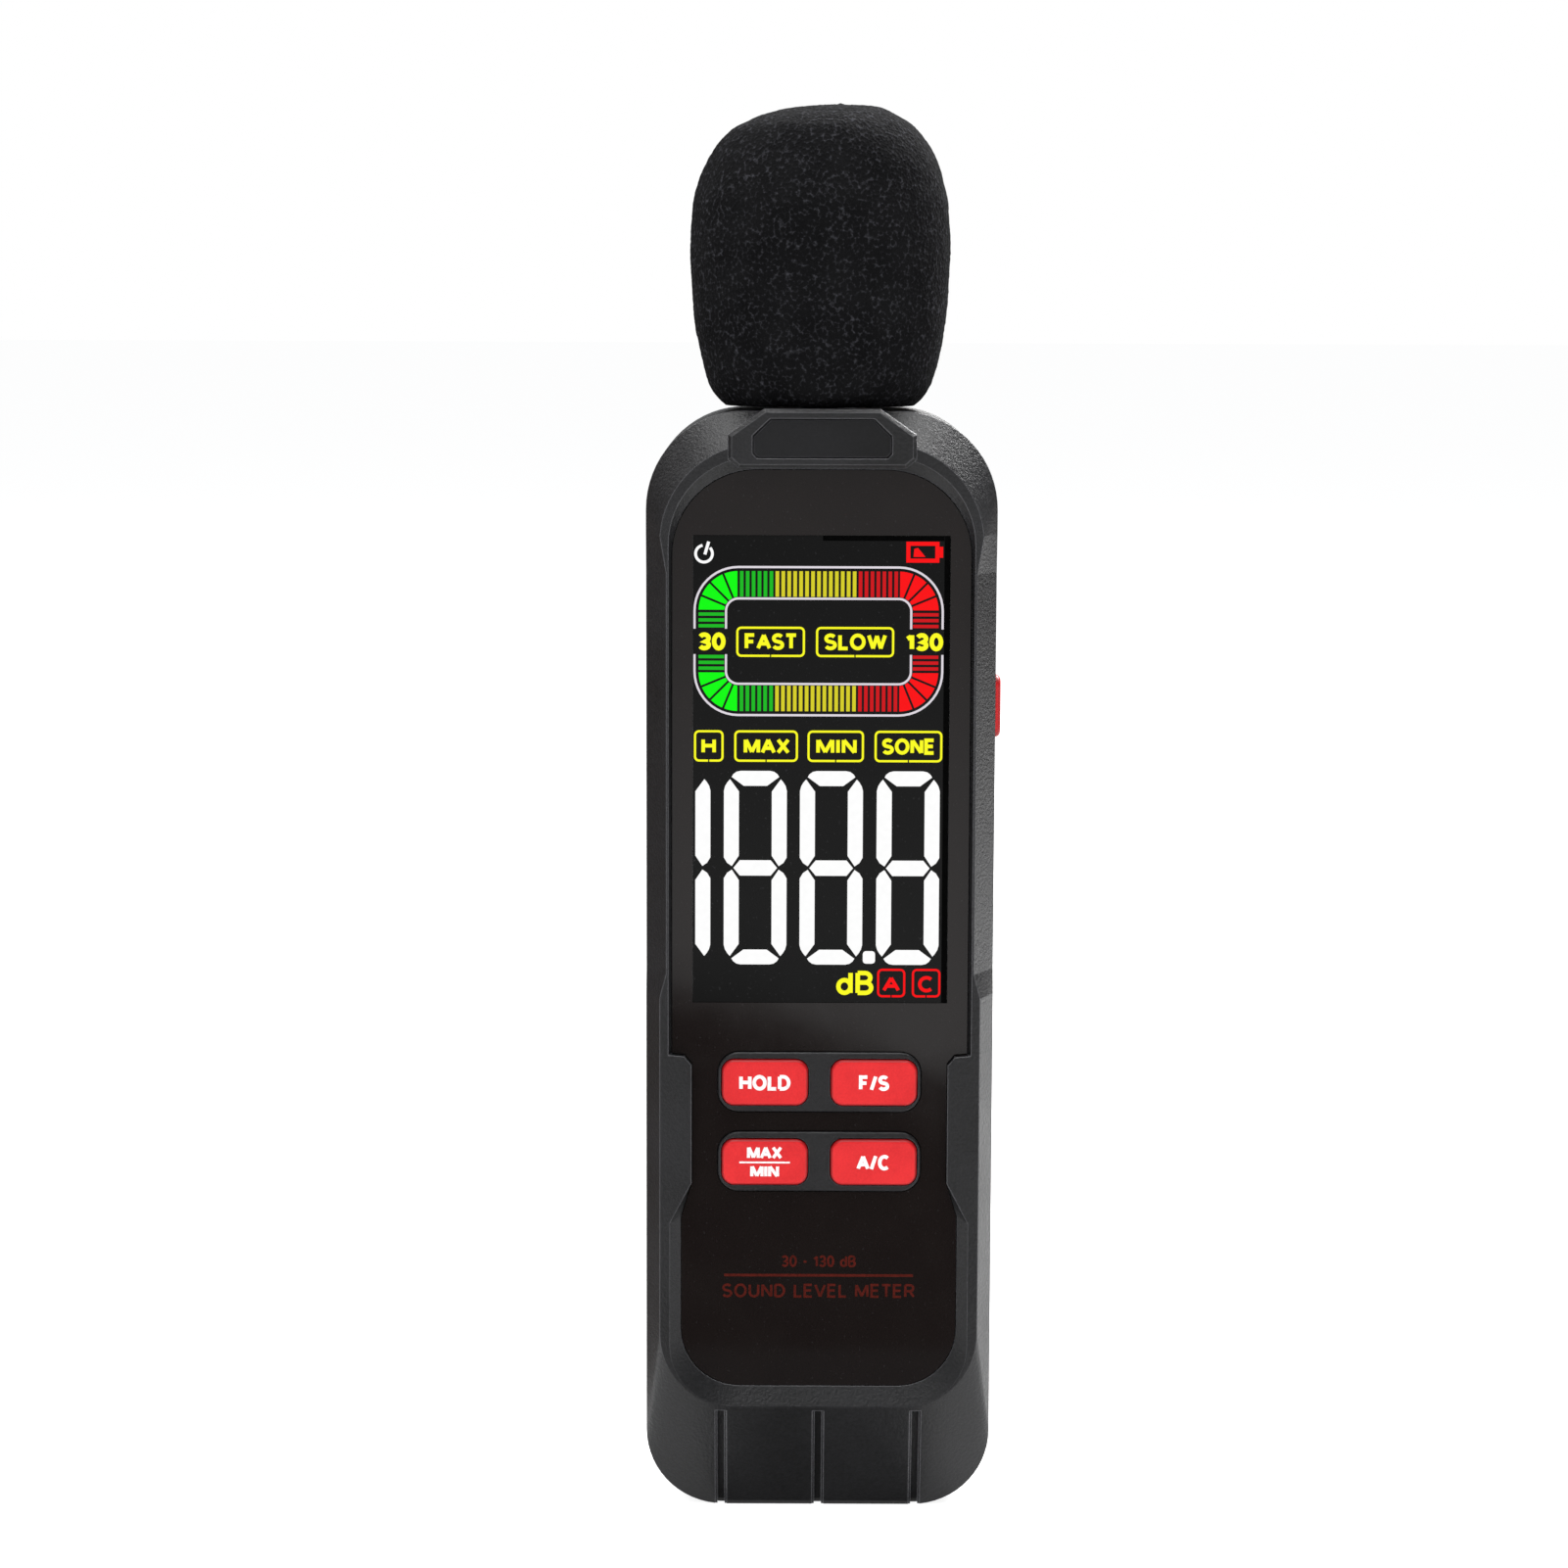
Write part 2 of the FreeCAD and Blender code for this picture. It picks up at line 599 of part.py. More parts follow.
def rear_case():
    body = new_body("rear_case")
    pad(body, "walls", "y", 0, back, case_outline())
    dress(body, "Fillet", "back_edges", size.case_back_fillet,
          lambda edge: all(abs(v.Y - back.value) < 1e-6 for v in edge.Vertexes))
    pocket(body, "hollow", "y", 0, back_wall_front, case_outline(size.case_wall + 0.2))
    bay_side = size.bay_width / 2
    bay_wall = 2.0
    pad(body, "battery_box", "y", 1.5, back_wall_front + 0.3,
        span(-bay_side - bay_wall, bay_side + bay_wall, 12.7, bay_top + 1.9))
    cover_side = size.cover_width / 2 + size.cover_gap
    pocket(body, "cover_opening", "y", back, back_wall_front,
           span(-cover_side, cover_side, size.cover_bottom - size.cover_gap,
                size.cover_top + size.cover_gap, 1.5))
    pocket(body, "battery_bay", "y", back_wall_front, size.bay_floor,
           span(-bay_side, bay_side, size.bay_bottom, bay_top))
    pocket(body, "tab_notches", "y", back_wall_front, 11.0,
           *[span(place - 3.4, place + 3.4, 10.7, size.bay_bottom + 0.1) for place in TAB_PLACES])
    pocket(body, "latch_relief", "y", back_wall_front, 12.6,
           span(-4.4, 4.4, bay_top - 0.2, size.cover_top + size.cover_gap))
    pad(body, "case_bosses", "y", 0, back_wall_front + 0.3,
        *[disc(x, z, 3.4) for x, z in CASE_SCREWS])
    pocket(body, "case_counterbores", "y", back, 6.0, *[disc(x, z, 2.5) for x, z in CASE_SCREWS])
    pocket(body, "case_screw_holes", "y", 6.0, 0, *[disc(x, z, 1.4) for x, z in CASE_SCREWS])
    insert_floor = back - 0.3 - size.tripod_length
    tripod = (0, size.tripod_height)
    pad(body, "tripod_boss", "y", insert_floor - 1.6, back_wall_front + 0.3,
        disc(*tripod, size.tripod_insert_radius + 1.8))
    pocket(body, "tripod_seat", "y", back, insert_floor,
           disc(*tripod, size.tripod_insert_radius))
    microphone_cradle(body, back_wall_front + 0.3)
    for side, name in ((-1, "left"), (1, "right")):
        pocket(body, f"{name}_grip_seat", "x", side * (half_width + 0.5),
               side * (half_width - size.grip_sink), grip_outline())


def grip_outline(inset=0.0):
    return span(size.grip_front + inset, size.grip_back - inset, size.grip_bottom + inset,
                size.grip_top - inset, 2.0)


def side_grips():
    """A soft strip with finger ribs, set into each side of the rear case."""
    for side, label in ((-1, "side_grip_left"), (1, "side_grip_right")):
        body = new_body(label)
        inner, outer = half_width - size.grip_sink, half_width + size.grip_rise
        pad(body, "strip", "x", side * inner, side * outer, grip_outline(0.05))
        dress(body, "Fillet", "strip_edges", 0.18,
              lambda edge: all(abs(abs(v.X) - outer.value) < 1e-6 for v in edge.Vertexes))


# ---------------------------------------------------------------- front panel and display

def front_panel():
    body = new_body("front_panel")
    pad(body, "sheet", "y", panel_back, panel_front, panel_outline(size.panel_gap))
    pocket(body, "window", "y", panel_front - 0.5, panel_back,
           rectangle(0, display_middle, size.display_width + 0.1, display_height + 0.1))
    pocket(body, "bezel_openings", "y", panel_front - 0.5, panel_back,
           bezel_outline(size.upper_key_row, 0.12), bezel_outline(size.lower_key_row, 0.12))


def display_lens():
    body = new_body("display_lens")
    pad(body, "sheet", "y", panel_back, panel_front + 0.08,
        rectangle(0, display_middle, size.display_width, display_height))


def nameplate_inlay():
    body = new_body("nameplate_inlay")
    seat = rim_front - size.plate_rise + size.inlay_sink
    pad(body, "sheet", "y", seat, seat - size.inlay_thickness, inlay_outline(0.2))


def display_stack():
    glass_front = panel_back + 0.1
    glass_back = glass_front + size.glass_thickness
    light_back = glass_back + size.backlight_thickness
    glass = new_body("lcd_glass")
    pad(glass, "cell", "y", glass_front, glass_back,
        span(-size.glass_width / 2, size.glass_width / 2, size.glass_bottom, size.glass_top))
    light = new_body("lcd_backlight")
    pad(light, "diffuser", "y", glass_back, light_back,
        span(-size.glass_width / 2, size.glass_width / 2, size.glass_bottom + 3.5, size.glass_top))
    strip = new_body("elastomer_strip")
    pad(strip, "bar", "y", glass_back, size.board_front,
        span(-17.0, 17.0, size.glass_bottom + 0.4, size.glass_bottom + 2.4))
    frame = new_body("lcd_frame")
    edge = size.glass_width / 2
    pad(frame, "ring", "y", front_wall_back + 0.1, light_back + 1.0,
        span(-edge - 1.6, edge + 1.6, size.glass_bottom - 1.7, size.glass_top + 1.6, 1.5))
    pocket(frame, "ring_opening", "y", front_wall_back - 0.5, light_back + 1.5,
           span(-edge - 0.05, edge + 0.05, size.glass_bottom - 0.05, size.glass_top + 0.05))
    pad(frame, "back_ribs", "y", light_back, light_back + 1.0,
        span(-edge - 1.0, edge + 1.0, 93.7, 96.7), span(-edge - 1.0, edge + 1.0, 123.7, 126.7))
    legs = [(side * 17.5, z) for z in (95.2, 125.2) for side in (-1, 1)]
    pad(frame, "legs", "y", light_back + 0.5, size.board_front,
        *[rectangle(x, z, 2.4, 2.4) for x, z in legs])


# ---------------------------------------------------------------- keys and switches

def keys():
    """Each key is a cap with a flange behind the bezel and a stem on its switch's plunger."""
    for label, place in KEYS.items():
        body = new_body(label)
        pad(body, "cap", "y", flange_front, key_front, key_outline(place))
        dress(body, "Fillet", "cap_edges", 0.45,
              lambda edge: all(abs(v.Y - key_front.value) < 1e-6 for v in edge.Vertexes))
        pad(body, "flange", "y", flange_front, flange_back, key_outline(place, 0.7))
        pad(body, "stem", "y", flange_back, plunger_front, disc(*place, 2.0))
        plunger = new_body(label.replace("key", "switch_plunger"))
        pad(plunger, "pin", "y", plunger_front, switch_front + 1.6, disc(*place, plunger_radius))
    bases = new_body("tact_switch_bases")
    pad(bases, "housings", "y", size.board_front, switch_front,
        *[rectangle(*place, 6.0, 6.0, 0.4) for place in KEYS.values()])
    pocket(bases, "plunger_bores", "y", switch_front, switch_front + 2.4,
           *[disc(*place, plunger_radius + 0.05) for place in KEYS.values()])


def power_button():
    """A side button with its flange inside the wall, and the switch behind it."""
    centre = (size.power_centre, power_middle)
    outer = half_width + size.power_rise
    wall_inside = half_width - size.case_wall
    flange_outside = wall_inside - 0.1
    flange_inside = flange_outside - 0.9
    switch_side = as_size(18.4)
    body = new_body("power_button")
    pad(body, "cap", "x", flange_outside, outer, power_outline())
    dress(body, "Fillet", "cap_edges", 0.7,
          lambda edge: all(abs(v.X - outer.value) < 1e-6 for v in edge.Vertexes))
    pad(body, "flange", "x", flange_outside, flange_inside,
        rectangle(*centre, size.power_depth - 0.4, power_length + 2.4, 1.0))
    pad(body, "stem", "x", flange_inside, switch_side + 0.9, disc(*centre, 1.6))
    plunger = new_body("power_switch_plunger")
    pad(plunger, "pin", "x", switch_side + 0.9, switch_side - 1.6, disc(*centre, 1.1))
    base = new_body("power_switch_base")
    pad(base, "housing", "x", switch_side, switch_side - 4.0,
        span(size.power_centre - 2.0, size.board_front, power_middle - 3.0, power_middle + 3.0))
    pocket(base, "plunger_bore", "x", switch_side, switch_side - 2.4, disc(*centre, 1.15))


# ---------------------------------------------------------------- circuit board

def circuit_board():
    body = new_body("main_board")
    half = size.board_width / 2
    pad(body, "laminate", "y", size.board_front, board_back,
        span(-half, half, size.board_bottom, size.board_top, 2.0))
    pocket(body, "screw_holes", "y", board_back, size.board_front,
           *[disc(x, z, 1.15) for x, z in BOARD_SCREWS])


def components():
    """The parts soldered to the back of the board: name, thickness and outlines."""
    chips = {
        "processor_chip": (1.4, [rectangle(2.0, 109.7, 12.0, 12.0)]),
        "preamp_chip": (1.5, [rectangle(-6.0, 127.7, 5.0, 4.0)]),
        "regulator_chip": (1.6, [rectangle(13.0, 83.7, 6.5, 6.7)]),
        "crystal": (3.0, [rectangle(13.5, 109.7, 3.8, 10.0, 1.8)]),
        "filter_capacitors": (3.4, [disc(-13.0, 81.7, 2.5), disc(-6.5, 81.7, 2.5)]),
        "chip_resistors": (0.6, [rectangle(x, z, 1.6, 0.9)
                                 for x in (-14.0, -10.5) for z in (101.7, 105.7, 109.7, 113.7)]),
    }
    for label, (thickness, shapes) in chips.items():
        body = new_body(label)
        pad(body, "package", "y", board_back, board_back + thickness, *shapes)


# ---------------------------------------------------------------- microphone

def microphone():
    tube = new_body("microphone_tube")
    revolve(tube, "barrel", [
        (size.tube_bore, size.tube_bottom), (size.barrel_radius, size.tube_bottom),
        (size.barrel_radius, 144.3), (size.flange_radius, 144.3), (size.flange_radius, 147.1),
        (size.barrel_radius, 147.1), (size.barrel_radius, size.collar_bottom),
        (size.collar_radius, size.collar_bottom), (size.collar_radius, size.collar_top),
        (size.tube_radius, size.collar_top), (size.tube_radius, size.tube_top),
        (size.tube_bore, size.tube_top)])
    capsule = new_body("microphone_capsule")
    pad(capsule, "can", "z", 171.7, 177.7, disc(0, 0, size.capsule_radius))
    pocket(capsule, "sound_ports", "z", 177.7, 177.1,
           *[disc(1.6 * math.cos(turn), 1.6 * math.sin(turn), 0.4)
             for turn in (math.radians(step * 72) for step in range(5))])
    seal = new_body("microphone_seal")
    pad(seal, "ring", "z", 172.2, 177.2, disc(0, 0, size.tube_bore - 0.02),
        disc(0, 0, size.capsule_radius + 0.02))
    grille = new_body("microphone_grille")
    pad(grille, "cap", "z", size.tube_top, size.tube_top + 1.2, disc(0, 0, size.tube_radius))
    pad(grille, "skirt", "z", size.tube_top, size.tube_top - 1.5,
        disc(0, 0, size.tube_bore - 0.02), disc(0, 0, size.tube_bore - 0.7))
    slot = pocket(grille, "slot", "z", size.tube_top + 1.5, size.tube_top - 0.2,
                  rectangle(3.0, 0, 2.6, 1.0, 0.45))
    before = volume(grille)
    ring = grille.newObject("PartDesign::PolarPattern", "slots")
    ring.Originals = [slot]
    axis = next(feature for feature in grille.Origin.OriginFeatures if feature.Role == "Z_Axis")
    ring.Axis = (axis, [""])
    ring.Occurrences = 8
    ring.Angle = 360
    grille.Tip = ring
    finish_feature(grille, ring, before, False)
    leads = new_body("microphone_leads")
    behind_board = board_back + 0.7
    for side, name in ((-1.4, "signal_lead"), (1.4, "ground_lead")):
        pipe(leads, name, side, "x", [(0, 171.7), (0, 137.2), (behind_board.value, 134.2),
                                      (behind_board.value, 131.2)], 2.0, 0.45)
    pad(leads, "solder_joints", "y", board_back, board_back + 1.3,
        disc(-1.4, 130.9, 0.9), disc(1.4, 130.9, 0.9))


def windscreen():
    """The plain solid of the foam ball. Its bore fits the tube's collar and clears its tip."""
    body = new_body("windscreen")
    revolve(body, "foam", [
        (size.foam_bore, size.foam_bottom), (13.0, size.foam_bottom, 1.0),
        (size.foam_radius, 163.7, 20.0), (size.foam_radius, 185.2, 14.0),
        (12.6, 193.3, 5.0), (6.0, size.foam_top, 12.0), (0, size.foam_top), (0, 183.7),
        (size.foam_hollow, 183.7), (size.foam_hollow, size.collar_top),
        (size.foam_bore, size.collar_top)])


# ---------------------------------------------------------------- batteries

def batteries():
    cells = new_body("battery_cells")
    springs = new_body("battery_springs")
    plates = new_body("battery_plates")
    low, high = size.bay_bottom + 0.6, bay_top - 0.6
    centre = size.cell_centre
    pitch = size.cell_pitch
    nub = 0.8
    upright = [disc(side * pitch, centre, size.cell_radius) for side in (-1, 1)]
    spring_top = low + size.spring_length
    pad(cells, "outer_cells", "z", spring_top, high - nub, *upright)
    pad(cells, "outer_nubs", "z", high - nub, high,
        *[disc(side * pitch, centre, 1.9) for side in (-1, 1)])
    pad(cells, "middle_cell", "z", low + nub, high - size.spring_length,
        disc(0, centre, size.cell_radius))
    pad(cells, "middle_nub", "z", low, low + nub, disc(0, centre, 1.9))
    # one plate joins two cells at each end, and one stands alone
    reach = size.cell_radius - 0.9
    for name, start, end, joined, single in (
            ("low", size.bay_bottom + 0.05, low, (0, pitch), -pitch),
            ("high", bay_top - 0.05, high, (-pitch, 0), pitch)):
        joined = [as_size(x) for x in joined]
        pad(plates, f"{name}_plates", "z", start, end,
            span(joined[0] - reach, joined[1] + reach, centre - 3.4, centre + 3.4, 0.5),
            span(single - reach, single + reach, centre - 3.4, centre + 3.4, 0.5))
    for number, (place, start) in enumerate(
            ((-pitch, low), (pitch, low), (as_size(0), high - size.spring_length))):
        battery_spring(springs, number, place, start)


def battery_spring(body, number, place, start):
    """A contact spring: a wire of four turns between the plate and the cell."""
    wire = 0.35
    coil = 3.0
    turns = 4
    height = size.spring_length - 2 * wire - 0.1
    before = volume(body)
    section = new_sketch(body, f"spring_section_{number}", "y", size.cell_centre)
    draw_circle(section, place + coil, start + wire + 0.05, wire)
    feature = body.newObject("PartDesign::AdditiveHelix", f"spring_{number}")
    feature.Profile = section
    axis = new_sketch(body, f"spring_axis_{number}", "y", size.cell_centre)
    line = axis.addGeometry(Part.LineSegment(Vector(place.value, start.value, 0),
                                             Vector(place.value, start.value + 5, 0)), False)
    axis.addConstraint(Sketcher.Constraint("Vertical", line))
    place_point(axis, line, 1, place, start)
    feature.ReferenceAxis = (axis, ["Edge1"])
    feature.Mode = "height-turns-angle"
    bind(feature, "Height", height)
    feature.Turns = turns
    feature.Angle = 0
    finish_feature(body, feature, before, True)


def battery_leads():
    """Two wires, one from each end of the battery box to the back of the board."""
    body = new_body("battery_leads")
    behind_board = (board_back + 0.7).value
    top = (bay_top + 1.9).value
    pipe(body, "upper_lead", 13.0, "x",
         [(6.0, top), (6.0, top + 3.5), (behind_board, top + 3.5), (behind_board, top + 7.0)],
         1.6, 0.6)
    pipe(body, "lower_lead", -13.0, "x",
         [(6.0, 12.7), (6.0, 9.6), (behind_board, 9.6), (behind_board, 22.2)], 1.8, 0.6)
    pad(body, "upper_joint", "y", board_back, board_back + 1.8, disc(13.0, top + 7.2, 1.0))
    pad(body, "lower_joint", "y", board_back, board_back + 1.8, disc(-13.0, 22.4, 1.0))


def battery_cover():
    """The door in the back: it turns on the outer edge of its foot, where two tabs hook in."""
    body = new_body("battery_cover")
    inside = back - size.cover_thickness
    side = size.cover_width / 2
    pad(body, "door", "y", inside, back,
        span(-side, side, size.cover_bottom, size.cover_top, 1.4))
    # the latch tongue, cut free on two sides, and its thumb hollow with ribs
    pocket(body, "tongue_slots", "y", back + 0.5, inside,
           *[span(x - 0.4, x + 0.4, 57.7, size.cover_top + 1.0) for x in (-7.0, 7.0)])
    pocket(body, "thumb_hollow", "y", back, back - 0.7, span(-5.4, 5.4, 59.2, 65.7, 2.4))
    pad(body, "thumb_ribs", "y", back - 0.7, back - 0.1,
        *[rectangle(0, z, 8.0, 0.7, 0.3) for z in (60.9, 62.5, 64.1)])
    pad(body, "latch_nose", "y", inside, inside - 1.0, span(-4.0, 4.0, 67.1, size.cover_top))
    pad(body, "tab_roots", "y", inside, 13.2,
        *[span(place - 3.0, place + 3.0, size.cover_bottom + 0.05, 15.7) for place in TAB_PLACES])
    pad(body, "tabs", "y", 13.25, 12.0,
        *[span(place - 3.0, place + 3.0, 11.3, 15.7) for place in TAB_PLACES])
    ribs = [rectangle(0, z, 24.0, 0.8, 0.35) for z in (21.7, 24.1, 26.5)]
    pocket(body, "foot_ribs", "y", back, back - 0.4, *ribs)


# ---------------------------------------------------------------- fasteners

def screws():
    case = new_body("case_screws")
    pad(case, "heads", "y", 6.0, 7.8, *[disc(x, z, 2.3) for x, z in CASE_SCREWS])
    pad(case, "shanks", "y", 6.0, -7.0, *[disc(x, z, 1.0) for x, z in CASE_SCREWS])
    pocket(case, "drives", "y", 7.8, 6.8, *cross_recesses(CASE_SCREWS, 2.4, 0.6))
    board = new_body("board_screws")
    pad(board, "heads", "y", board_back, board_back + 1.3,
        *[disc(x, z, 1.9) for x, z in BOARD_SCREWS])
    pad(board, "shanks", "y", board_back, -8.4, *[disc(x, z, 0.9) for x, z in BOARD_SCREWS])
    pocket(board, "drives", "y", board_back + 1.3, board_back + 0.6,
           *cross_recesses(BOARD_SCREWS, 1.8, 0.5))


def cross_recesses(places, length, width):
    """The outline of a cross in each screw head."""
    long, short = length / 2, width / 2
    right_half = [(short, -long), (short, -short), (long, -short), (long, short), (short, short),
                  (short, long)]
    cross = right_half + [(-x, z) for x, z in reversed(right_half)]
    return [[(x + dx, z + dz) for dx, dz in cross] for x, z in places]


def tripod_insert():
    body = new_body("tripod_insert")
    mouth = back - 0.3
    centre = (0, size.tripod_height)
    pad(body, "sleeve", "y", mouth - size.tripod_length, mouth,
        disc(*centre, size.tripod_insert_radius), disc(*centre, size.tripod_radius))


# ---------------------------------------------------------------- the whole meter

def main():
    for build in (front_case, rear_case, front_panel, display_lens, nameplate_inlay, side_grips,
                  display_stack, keys, power_button, circuit_board, components, microphone,
                  windscreen, batteries, battery_leads, battery_cover, screws, tripod_insert):
        build()
    document.recompute()
    for thing in document.Objects:
        if {"Invalid", "Error"} & set(thing.State):
            raise RuntimeError(f"{thing.Label} failed: {thing.State}")
    os.makedirs("parts", exist_ok=True)
    for body in bodies:
        body.Placement = Placement(Vector(0, 0, 0), Rotation())
        if body.Shape.isNull() or not body.Shape.isValid():
            raise RuntimeError(f"{body.Label} has no valid shape")
    for body in bodies:
        body.Shape.exportStep(f"parts/{body.Label}.step")
        print(f"{body.Label}: {len(body.Shape.Solids)} solids, {body.Shape.Volume:.1f} mm3")


main()
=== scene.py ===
import math

import bmesh
import bpy
from mathutils import Matrix, Vector, noise


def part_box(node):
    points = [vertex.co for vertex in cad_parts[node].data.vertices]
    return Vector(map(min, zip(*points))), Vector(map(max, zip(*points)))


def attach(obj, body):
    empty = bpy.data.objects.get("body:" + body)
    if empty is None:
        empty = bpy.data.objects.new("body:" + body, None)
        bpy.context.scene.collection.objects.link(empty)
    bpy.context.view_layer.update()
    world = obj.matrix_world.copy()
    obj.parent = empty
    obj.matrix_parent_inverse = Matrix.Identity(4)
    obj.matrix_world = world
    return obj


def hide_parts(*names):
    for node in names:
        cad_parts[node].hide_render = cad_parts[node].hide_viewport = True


# Looks for a handheld sound level meter. The CAD nodes keep their shapes and get new materials.
# The foam windscreen, the display's lit figures and the printed words are built here.
# Lengths are in millimetres where a name or comment says so, and in metres otherwise.

MM = 0.001
BAND_SPACING = 0.3184   # about how far apart a wave texture's bands are, at a scale of 1
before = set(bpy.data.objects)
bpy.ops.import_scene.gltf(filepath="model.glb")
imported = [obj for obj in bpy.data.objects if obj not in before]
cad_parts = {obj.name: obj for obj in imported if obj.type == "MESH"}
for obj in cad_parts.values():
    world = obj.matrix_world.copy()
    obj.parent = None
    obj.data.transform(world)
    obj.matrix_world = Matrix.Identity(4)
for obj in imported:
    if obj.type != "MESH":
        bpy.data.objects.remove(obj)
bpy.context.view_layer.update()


def screen(red, green, blue):
    """A colour as it looks on a screen, 0 to 255, as linear light."""
    values = []
    for value in (red, green, blue):
        share = value / 255
        values.append(share / 12.92 if share <= 0.04045 else ((share + 0.055) / 1.055) ** 2.4)
    return (*values, 1.0)


# ---------------------------------------------------------------- materials

class Finish:
    """A material's node tree while it is put together. Patterns follow the object's own space."""

    def __init__(self, name, roughness, specular, metallic=0.0):
        self.material = bpy.data.materials.get(name) or bpy.data.materials.new(name)
        self.material.use_nodes = True
        self.tree = self.material.node_tree
        self.tree.nodes.clear()
        self.shader = self.tree.nodes.new("ShaderNodeBsdfPrincipled")
        output = self.tree.nodes.new("ShaderNodeOutputMaterial")
        self.tree.links.new(self.shader.outputs["BSDF"], output.inputs["Surface"])
        coordinates = self.tree.nodes.new("ShaderNodeTexCoord")
        self.place = coordinates.outputs["Object"]
        self.facing = coordinates.outputs["Normal"]
        self.set("Roughness", roughness)
        self.set("Specular IOR Level", specular)
        self.set("Metallic", metallic)
        self.normal = None

    def set(self, socket, value):
        self.shader.inputs[socket].default_value = value

    def node(self, kind, inputs=None, **settings):
        """A new node, with each input set to a value or linked to another node's output."""
        node = self.tree.nodes.new(kind)
        for name, value in settings.items():
            setattr(node, name, value)
        for socket, value in (inputs or {}).items():
            if isinstance(value, bpy.types.NodeSocket):
                self.tree.links.new(value, node.inputs[socket])
            else:
                node.inputs[socket].default_value = value
        return node

    def noise(self, size_mm, detail=2.0, roughness=0.5, distortion=0.0, stretch=(1, 1, 1)):
        """Noise whose features are about size_mm across, 0 to 1."""
        place = self.place
        if stretch != (1, 1, 1):
            place = self.node("ShaderNodeMapping", {"Vector": place, "Scale": stretch}
                              ).outputs["Vector"]
        return self.node("ShaderNodeTexNoise", {
            "Vector": place, "Scale": 1 / (size_mm * MM), "Detail": detail,
            "Roughness": roughness, "Distortion": distortion}).outputs["Fac"]

    def cells(self, size_mm):
        """The distance to the nearest of many scattered points, about size_mm apart."""
        return self.node("ShaderNodeTexVoronoi", {
            "Vector": self.place, "Scale": 1 / (size_mm * MM)}).outputs["Distance"]

    def waves(self, pitch_mm, direction, profile):
        """Straight bands across one axis, 0 to 1."""
        return self.node("ShaderNodeTexWave", {
            "Vector": self.place, "Scale": BAND_SPACING / (pitch_mm * MM), "Distortion": 0.0},
            bands_direction=direction, wave_profile=profile).outputs["Fac"]

    def spread(self, value, low, high, to_low=0.0, to_high=1.0):
        """A value from one range carried to another, and held inside it."""
        return self.node("ShaderNodeMapRange", {
            "Value": value, "From Min": low, "From Max": high, "To Min": to_low,
            "To Max": to_high}).outputs["Result"]

    def mix(self, share, first, second):
        node = self.node("ShaderNodeMix", data_type="RGBA")
        for socket, value in (("Factor_Float", share), ("A_Color", first), ("B_Color", second)):
            target = next(item for item in node.inputs if item.identifier == socket)
            if isinstance(value, bpy.types.NodeSocket):
                self.tree.links.new(value, target)
            else:
                target.default_value = value
        return next(item for item in node.outputs if item.identifier == "Result_Color")

    def join(self, operation, first, second):
        return self.node("ShaderNodeMath", {0: first, 1: second}, operation=operation
                         ).outputs["Value"]

    def colour(self, value):
        self.tree.links.new(value, self.shader.inputs["Base Color"])

    def roughness(self, value):
        self.tree.links.new(value, self.shader.inputs["Roughness"])

    def soften(self, radius_mm):
        """Round the light on sharp edges. Returns 1 on an edge and 0 away from it."""
        same_way, turned = 0.99, 0.86   # cosines between the face's own and the rounded direction
        bevel = self.node("ShaderNodeBevel", {"Radius": radius_mm * MM}, samples=6)
        self.normal = bevel.outputs["Normal"]
        flat = self.node("ShaderNodeNewGeometry").outputs["Normal"]
        turn = self.node("ShaderNodeVectorMath", {0: self.normal, 1: flat},
                         operation="DOT_PRODUCT").outputs["Value"]
        self.tree.links.new(self.normal, self.shader.inputs["Normal"])
        return self.spread(turn, same_way, turned)

    def bump(self, height, depth_mm, strength=1.0):
        """Relief on top of any that the material has already."""
        inputs = {"Height": height, "Distance": depth_mm * MM, "Strength": strength}
        if self.normal is not None:
            inputs["Normal"] = self.normal
        self.normal = self.node("ShaderNodeBump", inputs).outputs["Normal"]
        self.tree.links.new(self.normal, self.shader.inputs["Normal"])


def moulded(name, dark, light, roughness, specular, grain_mm, grain_depth_mm, edge=None):
    """Moulded plastic or rubber: eroded grain, faint blotches and, with an edge colour, a painted
    highlight along the edges, which wear has also made glossier."""
    finish = Finish(name, roughness, specular)
    blotches = finish.noise(14.0, detail=4.0)
    grain = finish.noise(grain_mm, detail=3.0, roughness=0.6)
    shade = finish.join("MULTIPLY", finish.join("ADD", blotches, grain), 0.5)
    colour = finish.mix(finish.spread(shade, 0.38, 0.62), dark, light)
    rough = finish.spread(shade, 0.35, 0.65, roughness - 0.06, roughness + 0.06)
    if edge:
        # painted highlight: the edge colour lightens the edges; the lower roughness there is wear
        wear_and_highlight = finish.soften(0.22)
        colour = finish.mix(finish.join("MULTIPLY", wear_and_highlight, 0.7), colour, edge)
        rough = finish.join("SUBTRACT", rough, finish.join("MULTIPLY", wear_and_highlight, 0.12))
    finish.colour(colour)
    finish.roughness(rough)
    finish.bump(grain, grain_depth_mm)


def polished(name, dark, light, roughness, specular):
    """A clear gloss sheet over dark print: faint ripple, dust and finger smears."""
    finish = Finish(name, roughness, specular)
    smears = finish.noise(9.0, detail=5.0, distortion=0.8)
    dust = finish.spread(finish.noise(0.35, detail=1.0), 0.70, 0.78)
    shade = finish.mix(smears, dark, light)
    finish.colour(finish.mix(finish.join("MULTIPLY", dust, 0.25), shade, screen(60, 60, 62)))
    finish.roughness(finish.spread(smears, 0.3, 0.7, roughness, roughness + 0.05))
    finish.bump(finish.noise(25.0, detail=1.0), 0.01)


